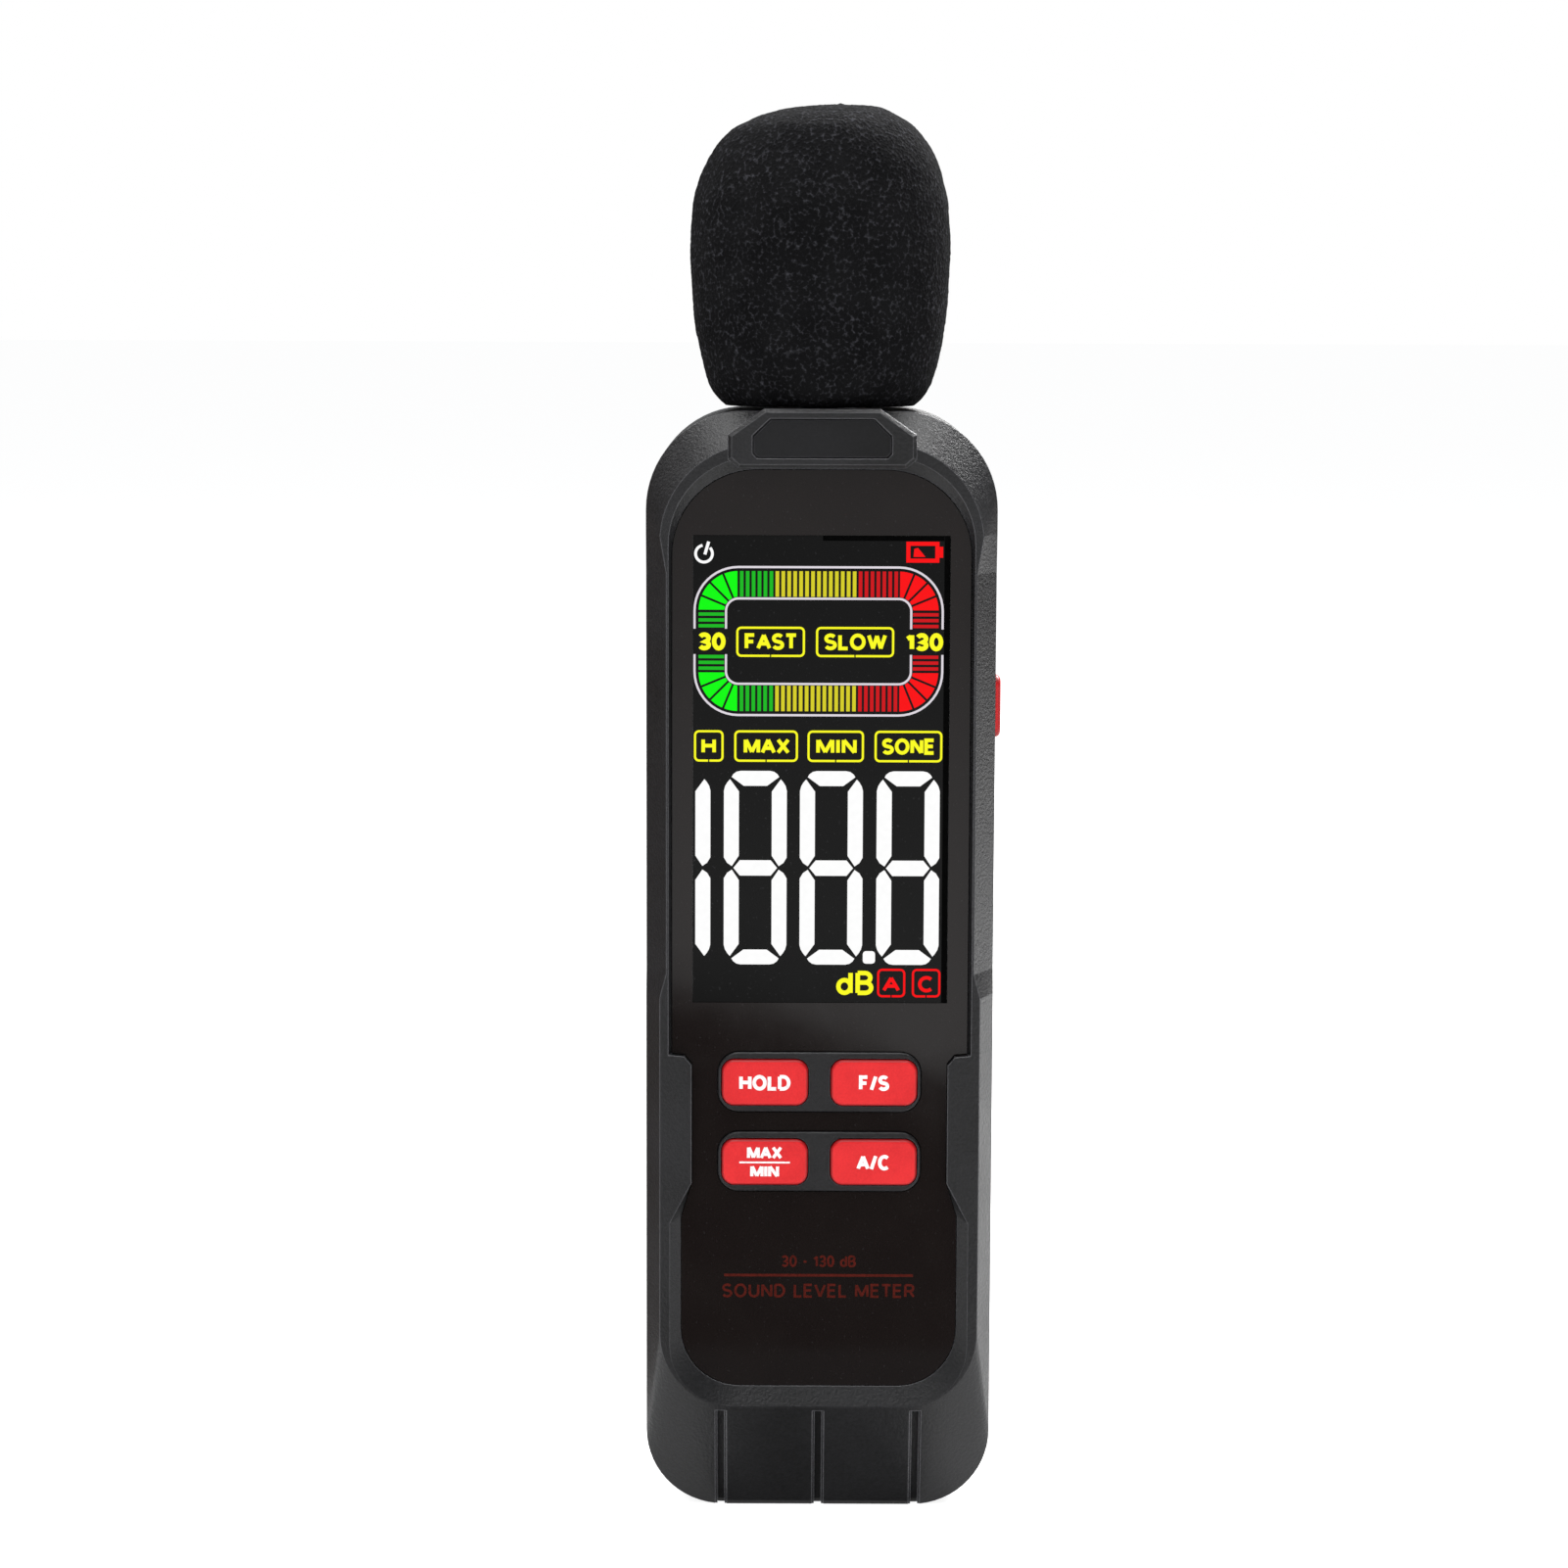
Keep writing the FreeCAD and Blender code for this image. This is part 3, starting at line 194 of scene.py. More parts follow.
def metal(name, dark, light, roughness, stretch=(1, 1, 1)):
    """Turned, drawn or stamped metal: fine lines, patches of dulling."""
    finish = Finish(name, roughness, 0.5, metallic=1.0)
    lines = finish.noise(0.4, detail=4.0, roughness=0.7, stretch=stretch)
    dulling = finish.noise(3.0, detail=4.0)
    finish.colour(finish.mix(finish.join("MULTIPLY", lines, dulling), light, dark))
    finish.roughness(finish.spread(dulling, 0.3, 0.7, roughness - 0.06, roughness + 0.10))
    finish.bump(lines, 0.01)


def rubber_keys():
    """Satin red silicone, with painted shade: darker where the face rolls over into the sides."""
    finish = Finish("key_rubber", 0.42, 0.25)
    facing = finish.node("ShaderNodeSeparateXYZ", {"Vector": finish.facing})
    ahead, across = (
        finish.node("ShaderNodeMath", {0: facing.outputs[axis]}, operation="ABSOLUTE"
                    ).outputs["Value"] for axis in ("Y", "X"))
    rolled_shade = finish.spread(finish.join("MAXIMUM", ahead, across), 0.985, 0.80)
    grain = finish.noise(0.28, detail=3.0, roughness=0.6)
    blotches = finish.noise(5.0, detail=3.0)
    shade = finish.join("MULTIPLY", finish.join("ADD", grain, blotches), 0.5)
    face = finish.mix(finish.spread(shade, 0.38, 0.62), screen(186, 18, 24), screen(202, 28, 32))
    # painted shade: the dark red where the face rolls over into the sides
    finish.colour(finish.mix(finish.join("MULTIPLY", rolled_shade, 0.75), face, screen(118, 12, 16)))
    finish.roughness(finish.spread(shade, 0.35, 0.65, 0.36, 0.48))
    finish.bump(grain, 0.015)


def open_foam():
    """Open-cell foam: dark pores between fine struts, with painted highlights where a few struts
    catch the light.
    """
    finish = Finish("foam", 0.95, 0.03)
    pores = finish.cells(0.55)
    fine = finish.noise(0.26, detail=3.0, roughness=0.7)
    broad = finish.noise(6.0, detail=3.0)
    strut_highlight = finish.spread(finish.join("MULTIPLY", pores, fine), 0.30, 0.62)
    body = finish.mix(finish.spread(broad, 0.35, 0.65), screen(12, 12, 13), screen(17, 17, 18))
    # painted highlight: the light grey specks on the struts
    finish.colour(finish.mix(strut_highlight, body, screen(52, 52, 56)))
    finish.bump(pores, 0.20, 0.7)
    finish.bump(fine, 0.08, 0.6)


def ribbed_grip():
    """Soft rubber strip with cross ribs, which finger contact has polished a little."""
    finish = Finish("grip_rubber", 0.62, 0.3)
    ribs = finish.waves(2.4, "Z", "SIN")
    grain = finish.noise(0.25, detail=3.0)
    shade = finish.join("MULTIPLY", finish.join("ADD", ribs, grain), 0.5)
    finish.colour(finish.mix(shade, screen(26, 26, 27), screen(52, 52, 54)))
    finish.roughness(finish.spread(ribs, 0.0, 1.0, 0.72, 0.52))
    finish.bump(finish.spread(ribs, 0.35, 0.65), 0.25)
    finish.bump(grain, 0.02)


def board_laminate():
    """Green solder mask over a glass weave, with copper pour that shows as a lighter green."""
    finish = Finish("board_laminate", 0.35, 0.5)
    upright = finish.node("ShaderNodeMapping", {
        "Vector": finish.place, "Rotation": (math.radians(90), 0, 0)}).outputs["Vector"]
    weave = finish.node("ShaderNodeTexBrick", {
        "Vector": upright, "Scale": 1.0, "Brick Width": 2.0 * MM, "Row Height": 1.0 * MM,
        "Mortar Size": 0.12 * MM, "Color1": (1, 1, 1, 1), "Color2": (0.7, 0.7, 0.7, 1),
        "Mortar": (0, 0, 0, 1)}).outputs["Color"]
    pour = finish.spread(finish.noise(9.0, detail=1.0), 0.48, 0.50)
    mask = finish.mix(pour, screen(12, 66, 34), screen(20, 92, 48))
    finish.colour(finish.mix(0.12, mask, weave))
    finish.bump(pour, 0.03)


def battery_jacket():
    """A printed foil sleeve: dark below, copper-coloured at the top, with fine scuffs."""
    copper_from, copper_full = 54.2 * MM, 54.4 * MM   # heights above the meter's foot
    finish = Finish("cell_jacket", 0.32, 0.5, metallic=0.6)
    scuffs = finish.noise(0.8, detail=5.0, stretch=(1, 1, 0.3))
    height = finish.node("ShaderNodeSeparateXYZ", {"Vector": finish.place}).outputs["Z"]
    copper = finish.spread(height, copper_from, copper_full)
    body = finish.mix(copper, screen(38, 44, 52), screen(176, 118, 56))
    finish.colour(finish.mix(finish.spread(scuffs, 0.62, 0.95), body, screen(120, 120, 122)))
    finish.roughness(finish.spread(scuffs, 0.3, 0.7, 0.24, 0.42))


def threaded_brass():
    """Turned brass, with the thread's turns drawn as bump down the bore."""
    finish = Finish("insert_brass", 0.3, 0.5, metallic=1.0)
    turns = finish.waves(1.27, "Y", "TRI")
    marks = finish.noise(0.5, detail=4.0)
    finish.colour(finish.mix(finish.join("MULTIPLY", turns, marks), screen(196, 156, 84),
                             screen(120, 88, 40)))
    finish.bump(turns, 0.35)


def glowing(name, red, green, blue):
    """A lit part of the display. Its light is faintly uneven, cell by cell."""
    finish = Finish(name, 0.4, 0.05)
    finish.colour(finish.mix(finish.noise(0.2), screen(4, 4, 4), screen(8, 8, 8)))
    unevenness = finish.spread(finish.noise(0.9, detail=3.0), 0.3, 0.7)
    dim = screen(red * 0.985, green * 0.985, blue * 0.985)
    lit = finish.mix(unevenness, dim, screen(red, green, blue))
    finish.tree.links.new(lit, finish.shader.inputs["Emission Color"])
    finish.set("Emission Strength", 1.0)
    return finish.material


def printed(name, dark, light, specular=0.3):
    """Screen-printed ink, slightly thin in places."""
    finish = Finish(name, 0.45, specular)
    thin = finish.noise(0.5, detail=4.0, roughness=0.7)
    finish.colour(finish.mix(finish.spread(thin, 0.35, 0.6), dark, light))
    finish.roughness(finish.spread(thin, 0.3, 0.7, 0.38, 0.52))
    finish.bump(thin, 0.01)
    return finish.material


# Each row gives the slot, its dark and light colours, its roughness and specular level, and the
# size and depth of its grain in millimetres. The case's and the inlay's edge colours are painted
# highlights.
moulded("case_plastic", screen(15, 15, 16), screen(25, 25, 27), 0.38, 0.28, 0.42, 0.095,
        edge=screen(108, 108, 112))
moulded("inlay_plastic", screen(13, 13, 14), screen(20, 20, 22), 0.34, 0.20, 0.25, 0.010,
        edge=screen(80, 80, 84))
polished("panel_gloss", screen(15, 11, 11), screen(21, 17, 16), 0.06, 0.20)
polished("display_window", screen(8, 8, 8), screen(11, 11, 11), 0.10, 0.08)
rubber_keys()
open_foam()
ribbed_grip()
moulded("seal_rubber", screen(18, 18, 18), screen(30, 30, 30), 0.7, 0.3, 0.3, 0.02)
moulded("lead_red", screen(170, 24, 24), screen(200, 36, 34), 0.4, 0.5, 0.3, 0.01)
polished("lcd_glass", screen(52, 58, 60), screen(70, 76, 78), 0.08, 0.5)
moulded("diffuser", screen(214, 214, 208), screen(236, 236, 230), 0.5, 0.4, 0.6, 0.01)
moulded("frame_plastic", screen(196, 196, 190), screen(214, 214, 208), 0.5, 0.4, 0.4, 0.02)
moulded("switch_plastic", screen(20, 20, 21), screen(34, 34, 36), 0.45, 0.4, 0.3, 0.01)
moulded("plunger_plastic", screen(190, 170, 130), screen(210, 192, 150), 0.5, 0.4, 0.3, 0.01)
moulded("chip_plastic", screen(22, 22, 24), screen(36, 36, 38), 0.55, 0.4, 0.15, 0.01)
board_laminate()
battery_jacket()
threaded_brass()
metal("tube_metal", screen(120, 122, 126), screen(176, 178, 182), 0.34, (0.15, 0.15, 6.0))
metal("capsule_metal", screen(140, 140, 142), screen(190, 190, 192), 0.30)
metal("grille_metal", screen(70, 71, 74), screen(120, 122, 126), 0.40)
metal("can_metal", screen(150, 150, 152), screen(200, 200, 202), 0.30)
metal("contact_metal", screen(150, 146, 138), screen(206, 202, 192), 0.26)
metal("screw_steel", screen(60, 60, 63), screen(112, 112, 116), 0.36)

# ---------------------------------------------------------------- thin printed and lit shapes

STROKE_STEP = 0.004     # millimetres between the heights of one letter's strokes
MOST_MITRE = 2.0        # how much wider than its line a sharp corner may be


class Relief:
    """Closed shapes that stand on a face looking along -Y. Places are in millimetres from an
    origin (x, z) on that face: across to the right, and down. They rise above the face and are
    rooted below it."""

    def __init__(self, name, origin, face_y, material, body, slot, rise=0.03, root=0.05):
        self.name = name
        self.left, self.top = origin
        self.front = face_y - rise * MM
        self.rear = face_y + root * MM
        self.material = material
        self.body = body
        self.slot = slot
        self.mesh = bmesh.new()

    def corner(self, point, y):
        return self.mesh.verts.new((self.left + point[0] * MM, y, self.top - point[1] * MM))

    def plate(self, outline, lift=0.0):
        """A flat shape inside an outline, which may turn either way."""
        area = sum(a[0] * b[1] - b[0] * a[1] for a, b in zip(outline, outline[1:] + outline[:1]))
        if area > 0:
            outline = outline[::-1]
        near = [self.corner(point, self.front - lift) for point in outline]
        far = [self.corner(point, self.rear) for point in outline]
        self.mesh.faces.new(near)
        self.mesh.faces.new(far[::-1])
        for i in range(len(outline)):
            j = (i + 1) % len(outline)
            self.mesh.faces.new((near[j], near[i], far[i], far[j]))

    def bar(self, left, top, right, bottom):
        """A flat oblong."""
        self.plate([(left, top), (right, top), (right, bottom), (left, bottom)])

    def stroke(self, path, width, closed=False, lift=0.0):
        """A line of one width along a path, as one closed strip."""
        count = len(path)
        sides = ([], [])
        for i, point in enumerate(path):
            before = path[i - 1] if closed or i > 0 else None
            after = path[(i + 1) % count] if closed or i < count - 1 else None
            arriving = (Vector(point) - Vector(before)).normalized() if before else None
            leaving = (Vector(after) - Vector(point)).normalized() if after else None
            if arriving is None:
                along, stretch = leaving, 1.0
            elif leaving is None:
                along, stretch = arriving, 1.0
            else:
                along = (arriving + leaving).normalized()
                stretch = 1.0 / max(1 / MOST_MITRE, along.dot(leaving))
            across = Vector((-along.y, along.x)) * (width / 2 * stretch)
            sides[0].append(tuple(Vector(point) + across))
            sides[1].append(tuple(Vector(point) - across))
        if not closed:
            self.plate(sides[0] + sides[1][::-1], lift)
            return
        layers = [[self.corner(point, y) for point in side]
                  for y in (self.front - lift, self.rear) for side in sides]
        outer_near, inner_near, outer_far, inner_far = layers
        for i in range(count):
            j = (i + 1) % count
            self.mesh.faces.new((outer_near[i], outer_near[j], inner_near[j], inner_near[i]))
            self.mesh.faces.new((outer_far[j], outer_far[i], inner_far[i], inner_far[j]))
            self.mesh.faces.new((outer_near[j], outer_near[i], outer_far[i], outer_far[j]))
            self.mesh.faces.new((inner_near[i], inner_near[j], inner_far[j], inner_far[i]))

    def text(self, words, left, top, right, bottom, width):
        """Upright bold letters drawn as strokes of one width, made to fill a box."""
        advance = 0.0
        placed = []
        for letter in words:
            reach, paths = LETTERS[letter]
            placed.append((advance, paths))
            advance += reach + LETTER_GAP
        total = advance - LETTER_GAP
        scale_x = (right - left - width) / total
        scale_y = bottom - top - width
        start = left + width / 2
        for offset, paths in placed:
            for order, path in enumerate(paths):
                points = [(start + (offset + x) * scale_x, top + width / 2 + y * scale_y)
                          for x, y in path]
                closed = points[0] == points[-1]
                # crossing strokes stand at different heights, so no two faces coincide
                self.stroke(points[:-1] if closed else points, width, closed,
                            order * STROKE_STEP * MM)

    def make(self):
        """Put the shapes into the scene as one piece."""
        bmesh.ops.recalc_face_normals(self.mesh, faces=self.mesh.faces)
        data = bpy.data.meshes.new(self.name)
        self.mesh.to_mesh(data)
        self.mesh.free()
        data.materials.append(self.material)
        piece = bpy.data.objects.new(self.name, data)
        bpy.context.scene.collection.objects.link(piece)
        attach(piece, self.body)


def bow(x, y, reach_x, reach_y, start, end, steps=12):
    """Points on an oval's arc, with angles in degrees from the right and turning upwards."""
    angles = [math.radians(start + (end - start) * i / steps) for i in range(steps + 1)]
    return [(x + reach_x * math.cos(a), y - reach_y * math.sin(a)) for a in angles]


def arc(centre, radius, start, end, steps=10):
    """Points on a circle's arc."""
    return bow(*centre, radius, radius, start, end, steps)


def oval(x, y, reach_x, reach_y):
    """A whole oval, whose last point is its first again."""
    points = bow(x, y, reach_x, reach_y, 90, 450, 20)
    return points[:-1] + points[:1]


LETTER_GAP = 0.31       # between letters, as a share of their height
STEM = [(0, 0), (0, 1)]
# Each letter's width, and its strokes in a box 1 high: across to the right, and down.
LETTERS = {
    " ": (0.18, []),
    "-": (0.30, [[(0, 0.55), (0.30, 0.55)]]),
    "/": (0.32, [[(0.32, -0.04), (0, 1.04)]]),
    "0": (0.54, [oval(0.27, 0.5, 0.27, 0.5)]),
    "1": (0.26, [[(0, 0.27), (0.20, 0.10)], [(0.26, 0), (0.26, 1)]]),
    "3": (0.52, [bow(0.26, 0.255, 0.25, 0.255, 155, -90)
                 + bow(0.26, 0.745, 0.26, 0.245, 80, -155)]),
    "A": (0.64, [[(-0.05, 1), (0.32, 0)], [(0.32, 0), (0.69, 1)], [(0.10, 0.66), (0.54, 0.66)]]),
    "B": (0.58, [STEM, [(0, 0), (0.30, 0)] + bow(0.30, 0.24, 0.24, 0.24, 80, -90) + [(0, 0.48)],
                 [(0, 0.48), (0.32, 0.48)] + bow(0.32, 0.74, 0.26, 0.26, 80, -90) + [(0, 1)]]),
    "C": (0.66, [bow(0.36, 0.5, 0.36, 0.5, 48, 312, 16)]),
    "D": (0.64, [STEM, [(0, 0), (0.24, 0)] + bow(0.24, 0.5, 0.40, 0.5, 85, -90, 14) + [(0, 1)]]),
    "E": (0.52, [[(0.52, 0), (0, 0), (0, 1), (0.52, 1)], [(0, 0.48), (0.47, 0.48)]]),
    "F": (0.50, [[(0.50, 0), (0, 0), (0, 1)], [(0, 0.5), (0.44, 0.5)]]),
    "H": (0.62, [STEM, [(0.62, 0), (0.62, 1)], [(0, 0.48), (0.62, 0.48)]]),
    "I": (0.0, [STEM]),
    "L": (0.42, [[(0, 0), (0, 1), (0.48, 1)]]),
    "M": (0.82, [STEM, [(0.82, 0), (0.82, 1)], [(0.04, 0.02), (0.41, 0.96)],
                 [(0.78, 0.02), (0.41, 0.96)]]),
    "N": (0.64, [STEM, [(0.64, 0), (0.64, 1)], [(0.03, 0.02), (0.61, 0.98)]]),
    "O": (0.76, [oval(0.38, 0.5, 0.38, 0.5)]),
    "R": (0.62, [STEM, [(0, 0), (0.33, 0)] + bow(0.33, 0.26, 0.25, 0.26, 80, -90) + [(0, 0.52)],
                 [(0.32, 0.52), (0.62, 1)]]),
    "S": (0.58, [bow(0.29, 0.25, 0.27, 0.25, 30, 235) + bow(0.29, 0.75, 0.29, 0.25, 55, -155)]),
    "T": (0.52, [[(-0.06, 0), (0.58, 0)], [(0.26, 0), (0.26, 1)]]),
    "U": (0.62, [[(0, 0), (0, 0.62)] + bow(0.31, 0.66, 0.31, 0.34, 180, 360) + [(0.62, 0)]]),
    "V": (0.60, [[(-0.05, 0), (0.30, 1)], [(0.65, 0), (0.30, 1)]]),
    "W": (1.02, [[(0, 0), (0.27, 1)], [(0.27, 1), (0.51, 0.04)], [(0.51, 0.04), (0.75, 1)],
                 [(0.75, 1), (1.02, 0)]]),
    "X": (0.64, [[(0, 0), (0.64, 1)], [(0.64, 0), (0, 1)]]),
    "d": (0.52, [[(0.52, 0), (0.52, 1)], oval(0.26, 0.68, 0.26, 0.32)]),
}


CORNER_STEPS = 5


def rounded_box(left, top, right, bottom, radius):
    """Points round a box: its right upper, left upper, left lower and right lower corners."""
    return (arc((right - radius, top + radius), radius, 0, 90, CORNER_STEPS)
            + arc((left + radius, top + radius), radius, 90, 180, CORNER_STEPS)
            + arc((left + radius, bottom - radius), radius, 180, 270, CORNER_STEPS)
            + arc((right - radius, bottom - radius), radius, 270, 360, CORNER_STEPS))


def label(relief, words, box, letters):
    """A word in a rounded frame whose line is broken at the middle of its foot."""
    line, radius, gap = 0.30, 0.55, 0.18
    left, top, right, bottom = box
    middle, foot = (left + right) / 2, bottom - line / 2
    loop = rounded_box(left + line / 2, top + line / 2, right - line / 2, foot, radius)
    last_corner = 3 * (CORNER_STEPS + 1)
    around = loop[last_corner:] + loop[:last_corner]
    relief.stroke([(middle + gap / 2, foot)] + around + [(middle - gap / 2, foot)], line)
    relief.text(words, *letters)


DIGIT_WIDTH, DIGIT_HEIGHT = 8.65, 26.9
BAR = 2.07      # how thick a digit's segments are


def digit_right_side(left, top):
    """The two upright segments on a digit's right."""
    w, h = DIGIT_WIDTH, DIGIT_HEIGHT
    upper = [(w - 0.84, 1.16), (w - 0.5, 1.55), (w - 0.17, 2.1), (w, 2.75), (w, 12.0),
             (w - 0.45, 12.75), (w - 1.1, 13.2), (w - BAR, 11.75), (w - BAR, 2.85)]
    lower = [(x, h - y) for x, y in upper]
    return [[(left + x, top + y) for x, y in shape] for shape in (upper, lower)]


def digit(left, top):
    """All seven segments, with the outer corners rounded."""
    w, h = DIGIT_WIDTH, DIGIT_HEIGHT
    right = digit_right_side(left, top)
    left_side = [[(2 * left + w - x, y) for x, y in shape] for shape in right]
    head = [(1.06, 0.84), (1.3, 0.45), (1.75, 0.12), (2.3, 0), (w - 2.3, 0), (w - 1.75, 0.12),
            (w - 1.3, 0.45), (w - 1.06, 0.84), (w - 2.72, BAR), (2.72, BAR)]
    waist = [(1.32, 13.45), (2.2, 12.38), (w - 2.2, 12.38), (w - 1.32, 13.45), (w - 2.2, 14.52),
             (2.2, 14.52)]
    across = [head, waist, [(x, h - y) for x, y in head]]
    return right + left_side + [[(left + x, top + y) for x, y in shape] for shape in across]


def wedge(centre, inner, outer, start, end, gap=0.15):
    """A slice of a ring, drawn in by the same distance on both sides."""
    near, far = math.degrees(gap / inner), math.degrees(gap / outer)
    return (arc(centre, outer, start + far, end - far, 4)
            + arc(centre, inner, end - near, start + near, 2))


def display():
    """The lit figures, which stand on the window's face."""
    mask_ink = printed("mask_ink", screen(0, 0, 0), screen(2, 2, 2), 0.02)
    low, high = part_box("display_lens")
    shared = ((low.x, high.z), low.y)

    def layer(name, *colour):
        material = glowing(name, *colour)
        return Relief(name, *shared, material, "meter_case", "display_window", rise=0.04)

    white = layer("display_white", 255, 255, 255)
    outline = layer("display_outline", 224, 218, 226)
    yellow = layer("display_yellow", 253, 253, 32)
    red = layer("display_red", 252, 8, 14)
    green = layer("display_green", 6, 252, 10)
    bars = {"green": layer("display_green_bars", 24, 186, 32),
            "yellow": layer("display_yellow_bars", 214, 206, 38),
            "red": layer("display_red_bars", 206, 16, 24)}

    # the gauge: two outlines, broken at each side, with bars between them. Its four corners are
    # rounded about the crossings of left and right with upper and lower.
    left, right = 6.2, 28.1
    upper, lower = 10.3, 18.6
    break_top, break_bottom = 12.75, 16.25
    outline_width, outer_radius, inner_radius = 0.30, 6.0, 1.7
    for radius in (outer_radius, inner_radius):
        top_half = ([(left - radius, break_top)] + arc((left, upper), radius, 180, 90, 12)
                    + arc((right, upper), radius, 90, 0, 12) + [(right + radius, break_top)])
        bottom_half = ([(left - radius, break_bottom)] + arc((left, lower), radius, 180, 270, 12)
                       + arc((right, lower), radius, 270, 360, 12)
                       + [(right + radius, break_bottom)])
        outline.stroke(top_half, outline_width)
        outline.stroke(bottom_half, outline_width)
    near, far = 1.95, 5.45
    slice_turn = 22.5
    for x, layer_of, quarters in ((left, green, (90, 180)), (right, red, (0, 270))):
        for z, first in zip((upper, lower), quarters):
            for step in range(4):
                start = first + slice_turn * step
                layer_of.plate(wedge((x, z), near, far, start, start + slice_turn))
    count, bar_start, bar_width = 27, 0.18, 0.50
    pitch = (right - left) / count
    for i in range(count):
        kind = "green" if i < 6 else "yellow" if i < 20 else "red"
        x = left + pitch * i + bar_start
        for z in (upper - far, lower + near):
            bars[kind].bar(x, z, x + bar_width, z + far - near)
    side_pitch, side_width = 0.80, 0.46
    for i in range(3):
        for z in (upper + 0.22 + side_pitch * i, lower - 0.66 - side_pitch * i):
            for x, kind in ((left - far, "green"), (right + near, "red")):
                bars[kind].bar(x, z, x + far - near, z + side_width)

    # words
    yellow.text("30", 0.62, 13.25, 4.45, 15.75, 0.62)
    yellow.text("130", 29.0, 13.25, 34.2, 15.75, 0.62)
    label(yellow, "FAST", (5.9, 12.45, 15.3, 16.6), (7.05, 13.35, 14.2, 15.65, 0.50))
    label(yellow, "SLOW", (16.8, 12.45, 27.5, 16.6), (17.9, 13.35, 26.5, 15.65, 0.50))
    label(yellow, "H", (0.13, 26.7, 4.2, 31.05), (1.15, 27.75, 3.15, 30.0, 0.50))
    label(yellow, "MAX", (5.65, 26.7, 14.4, 31.05), (6.95, 27.75, 13.3, 30.0, 0.50))
    label(yellow, "MIN", (15.7, 26.7, 23.45, 31.05), (16.9, 27.75, 22.45, 30.0, 0.50))
    label(yellow, "SONE", (24.9, 26.7, 34.2, 31.05), (25.9, 27.75, 33.25, 30.0, 0.50))
    yellow.text("dB", 19.8, 60.05, 24.95, 63.45, 0.62)
    label(red, "A", (25.45, 59.75, 29.35, 63.75), (26.3, 60.8, 28.5, 63.0, 0.48))
    label(red, "C", (30.25, 59.75, 34.2, 63.75), (31.1, 60.75, 33.3, 63.05, 0.48))

    # the reading
    top = 32.3
    for left_edge in (4.25, 14.7, 25.25):
        for shape in digit(left_edge, top):
            white.plate(shape)
    for shape in digit_right_side(2.4 - DIGIT_WIDTH, top):
        white.plate(shape)
    white.plate(rounded_box(23.45, 57.3, 25.15, 59.05, 0.45))

    # the power sign and the battery sign
    white.stroke(arc((1.48, 2.5), 1.15, 100, 405, 24), 0.38)
    white.stroke([(1.60, 2.60), (2.12, 0.85)], 0.42)
    red.stroke([(29.35, 1.05), (33.3, 1.05), (33.3, 3.35), (29.35, 3.35)], 0.56, closed=True)
    red.bar(33.59, 1.45, 34.1, 2.95)
    red.plate([(30.05, 2.85), (30.15, 1.75), (30.65, 1.6), (31.7, 2.85)])

    # the dark mask along the window's right and over the right half of its head
    mask = Relief("display_mask", *shared, mask_ink, "meter_case", "display_window", rise=0.02)
    mask.bar(34.3, 0.0, 35.1, 64.5)
    mask.bar(17.7, 0.0, 34.25, 0.68)
    mask.make()

    for relief in (white, outline, yellow, red, green, *bars.values()):
        relief.make()


def legends():
    """The white words on the red keys, placed from each key's middle."""
    ink = printed("legend_ink", screen(205, 200, 200), screen(232, 228, 228))
    words = {
        "hold": [("HOLD", -3.55, -1.15, 3.55, 1.05, 0.50)],
        "fast_slow": [("F/S", -2.1, -1.15, 2.1, 1.05, 0.50)],
        "max_min": [("MAX", -2.45, -2.35, 2.45, -0.45, 0.44),
                    ("MIN", -2.0, 0.32, 2.0, 2.15, 0.44)],
        "weighting": [("A/C", -2.3, -1.15, 2.3, 1.05, 0.50)],
    }
    for key, lines in words.items():
        low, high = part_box(f"{key}_key")
        middle = ((low.x + high.x) / 2, (low.z + high.z) / 2)
        legend = Relief(f"legend_{key}", middle, low.y, ink, f"{key}_button", "key_rubber",
                        rise=0.02)
        for line in lines:
            legend.text(*line)
        if key == "max_min":
            legend.stroke([(-3.5, -0.02), (3.5, -0.02)], 0.24)
        legend.make()


def panel_print():
    """The dull red words below the keys, placed from the panel's foot."""
    ink = printed("panel_ink", screen(58, 10, 3), screen(73, 15, 6), 0.08)
    low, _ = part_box("front_panel")
    words = Relief("panel_words", (0, low.z), low.y, ink, "meter_case", "panel_gloss", rise=0.012)
    words.text("30 - 130 dB", -5.2, -18.55, 5.2, -16.85, 0.31)
    words.bar(-13.15, -15.88, 13.15, -15.50)
    words.text("SOUND LEVEL METER", -13.45, -14.5, 13.45, -12.5, 0.34)
    words.make()


# ---------------------------------------------------------------- the foam windscreen

FOAM_OUTLINE = [
    # height above the foot, left edge and right edge, in millimetres. The ball is lopsided.
    (0.1, -13.4, 13.0), (1.3, -14.6, 14.2), (2.4, -15.4, 14.9), (4.6, -16.2, 15.8),
    (7.8, -17.0, 16.6), (11.1, -17.7, 17.1), (15.4, -18.1, 17.5), (21.9, -18.3, 17.7),
    (26.2, -18.1, 17.5), (28.3, -17.9, 17.4), (30.5, -17.3, 16.9), (32.6, -16.5, 16.4),
    (34.8, -15.4, 15.4), (36.9, -13.8, 14.05), (38.0, -12.6, 13.1), (39.0, -10.7, 12.0),
    (40.1, -8.0, 10.1), (41.2, -2.6, 7.4), (41.5, 1.6, 3.2),
]


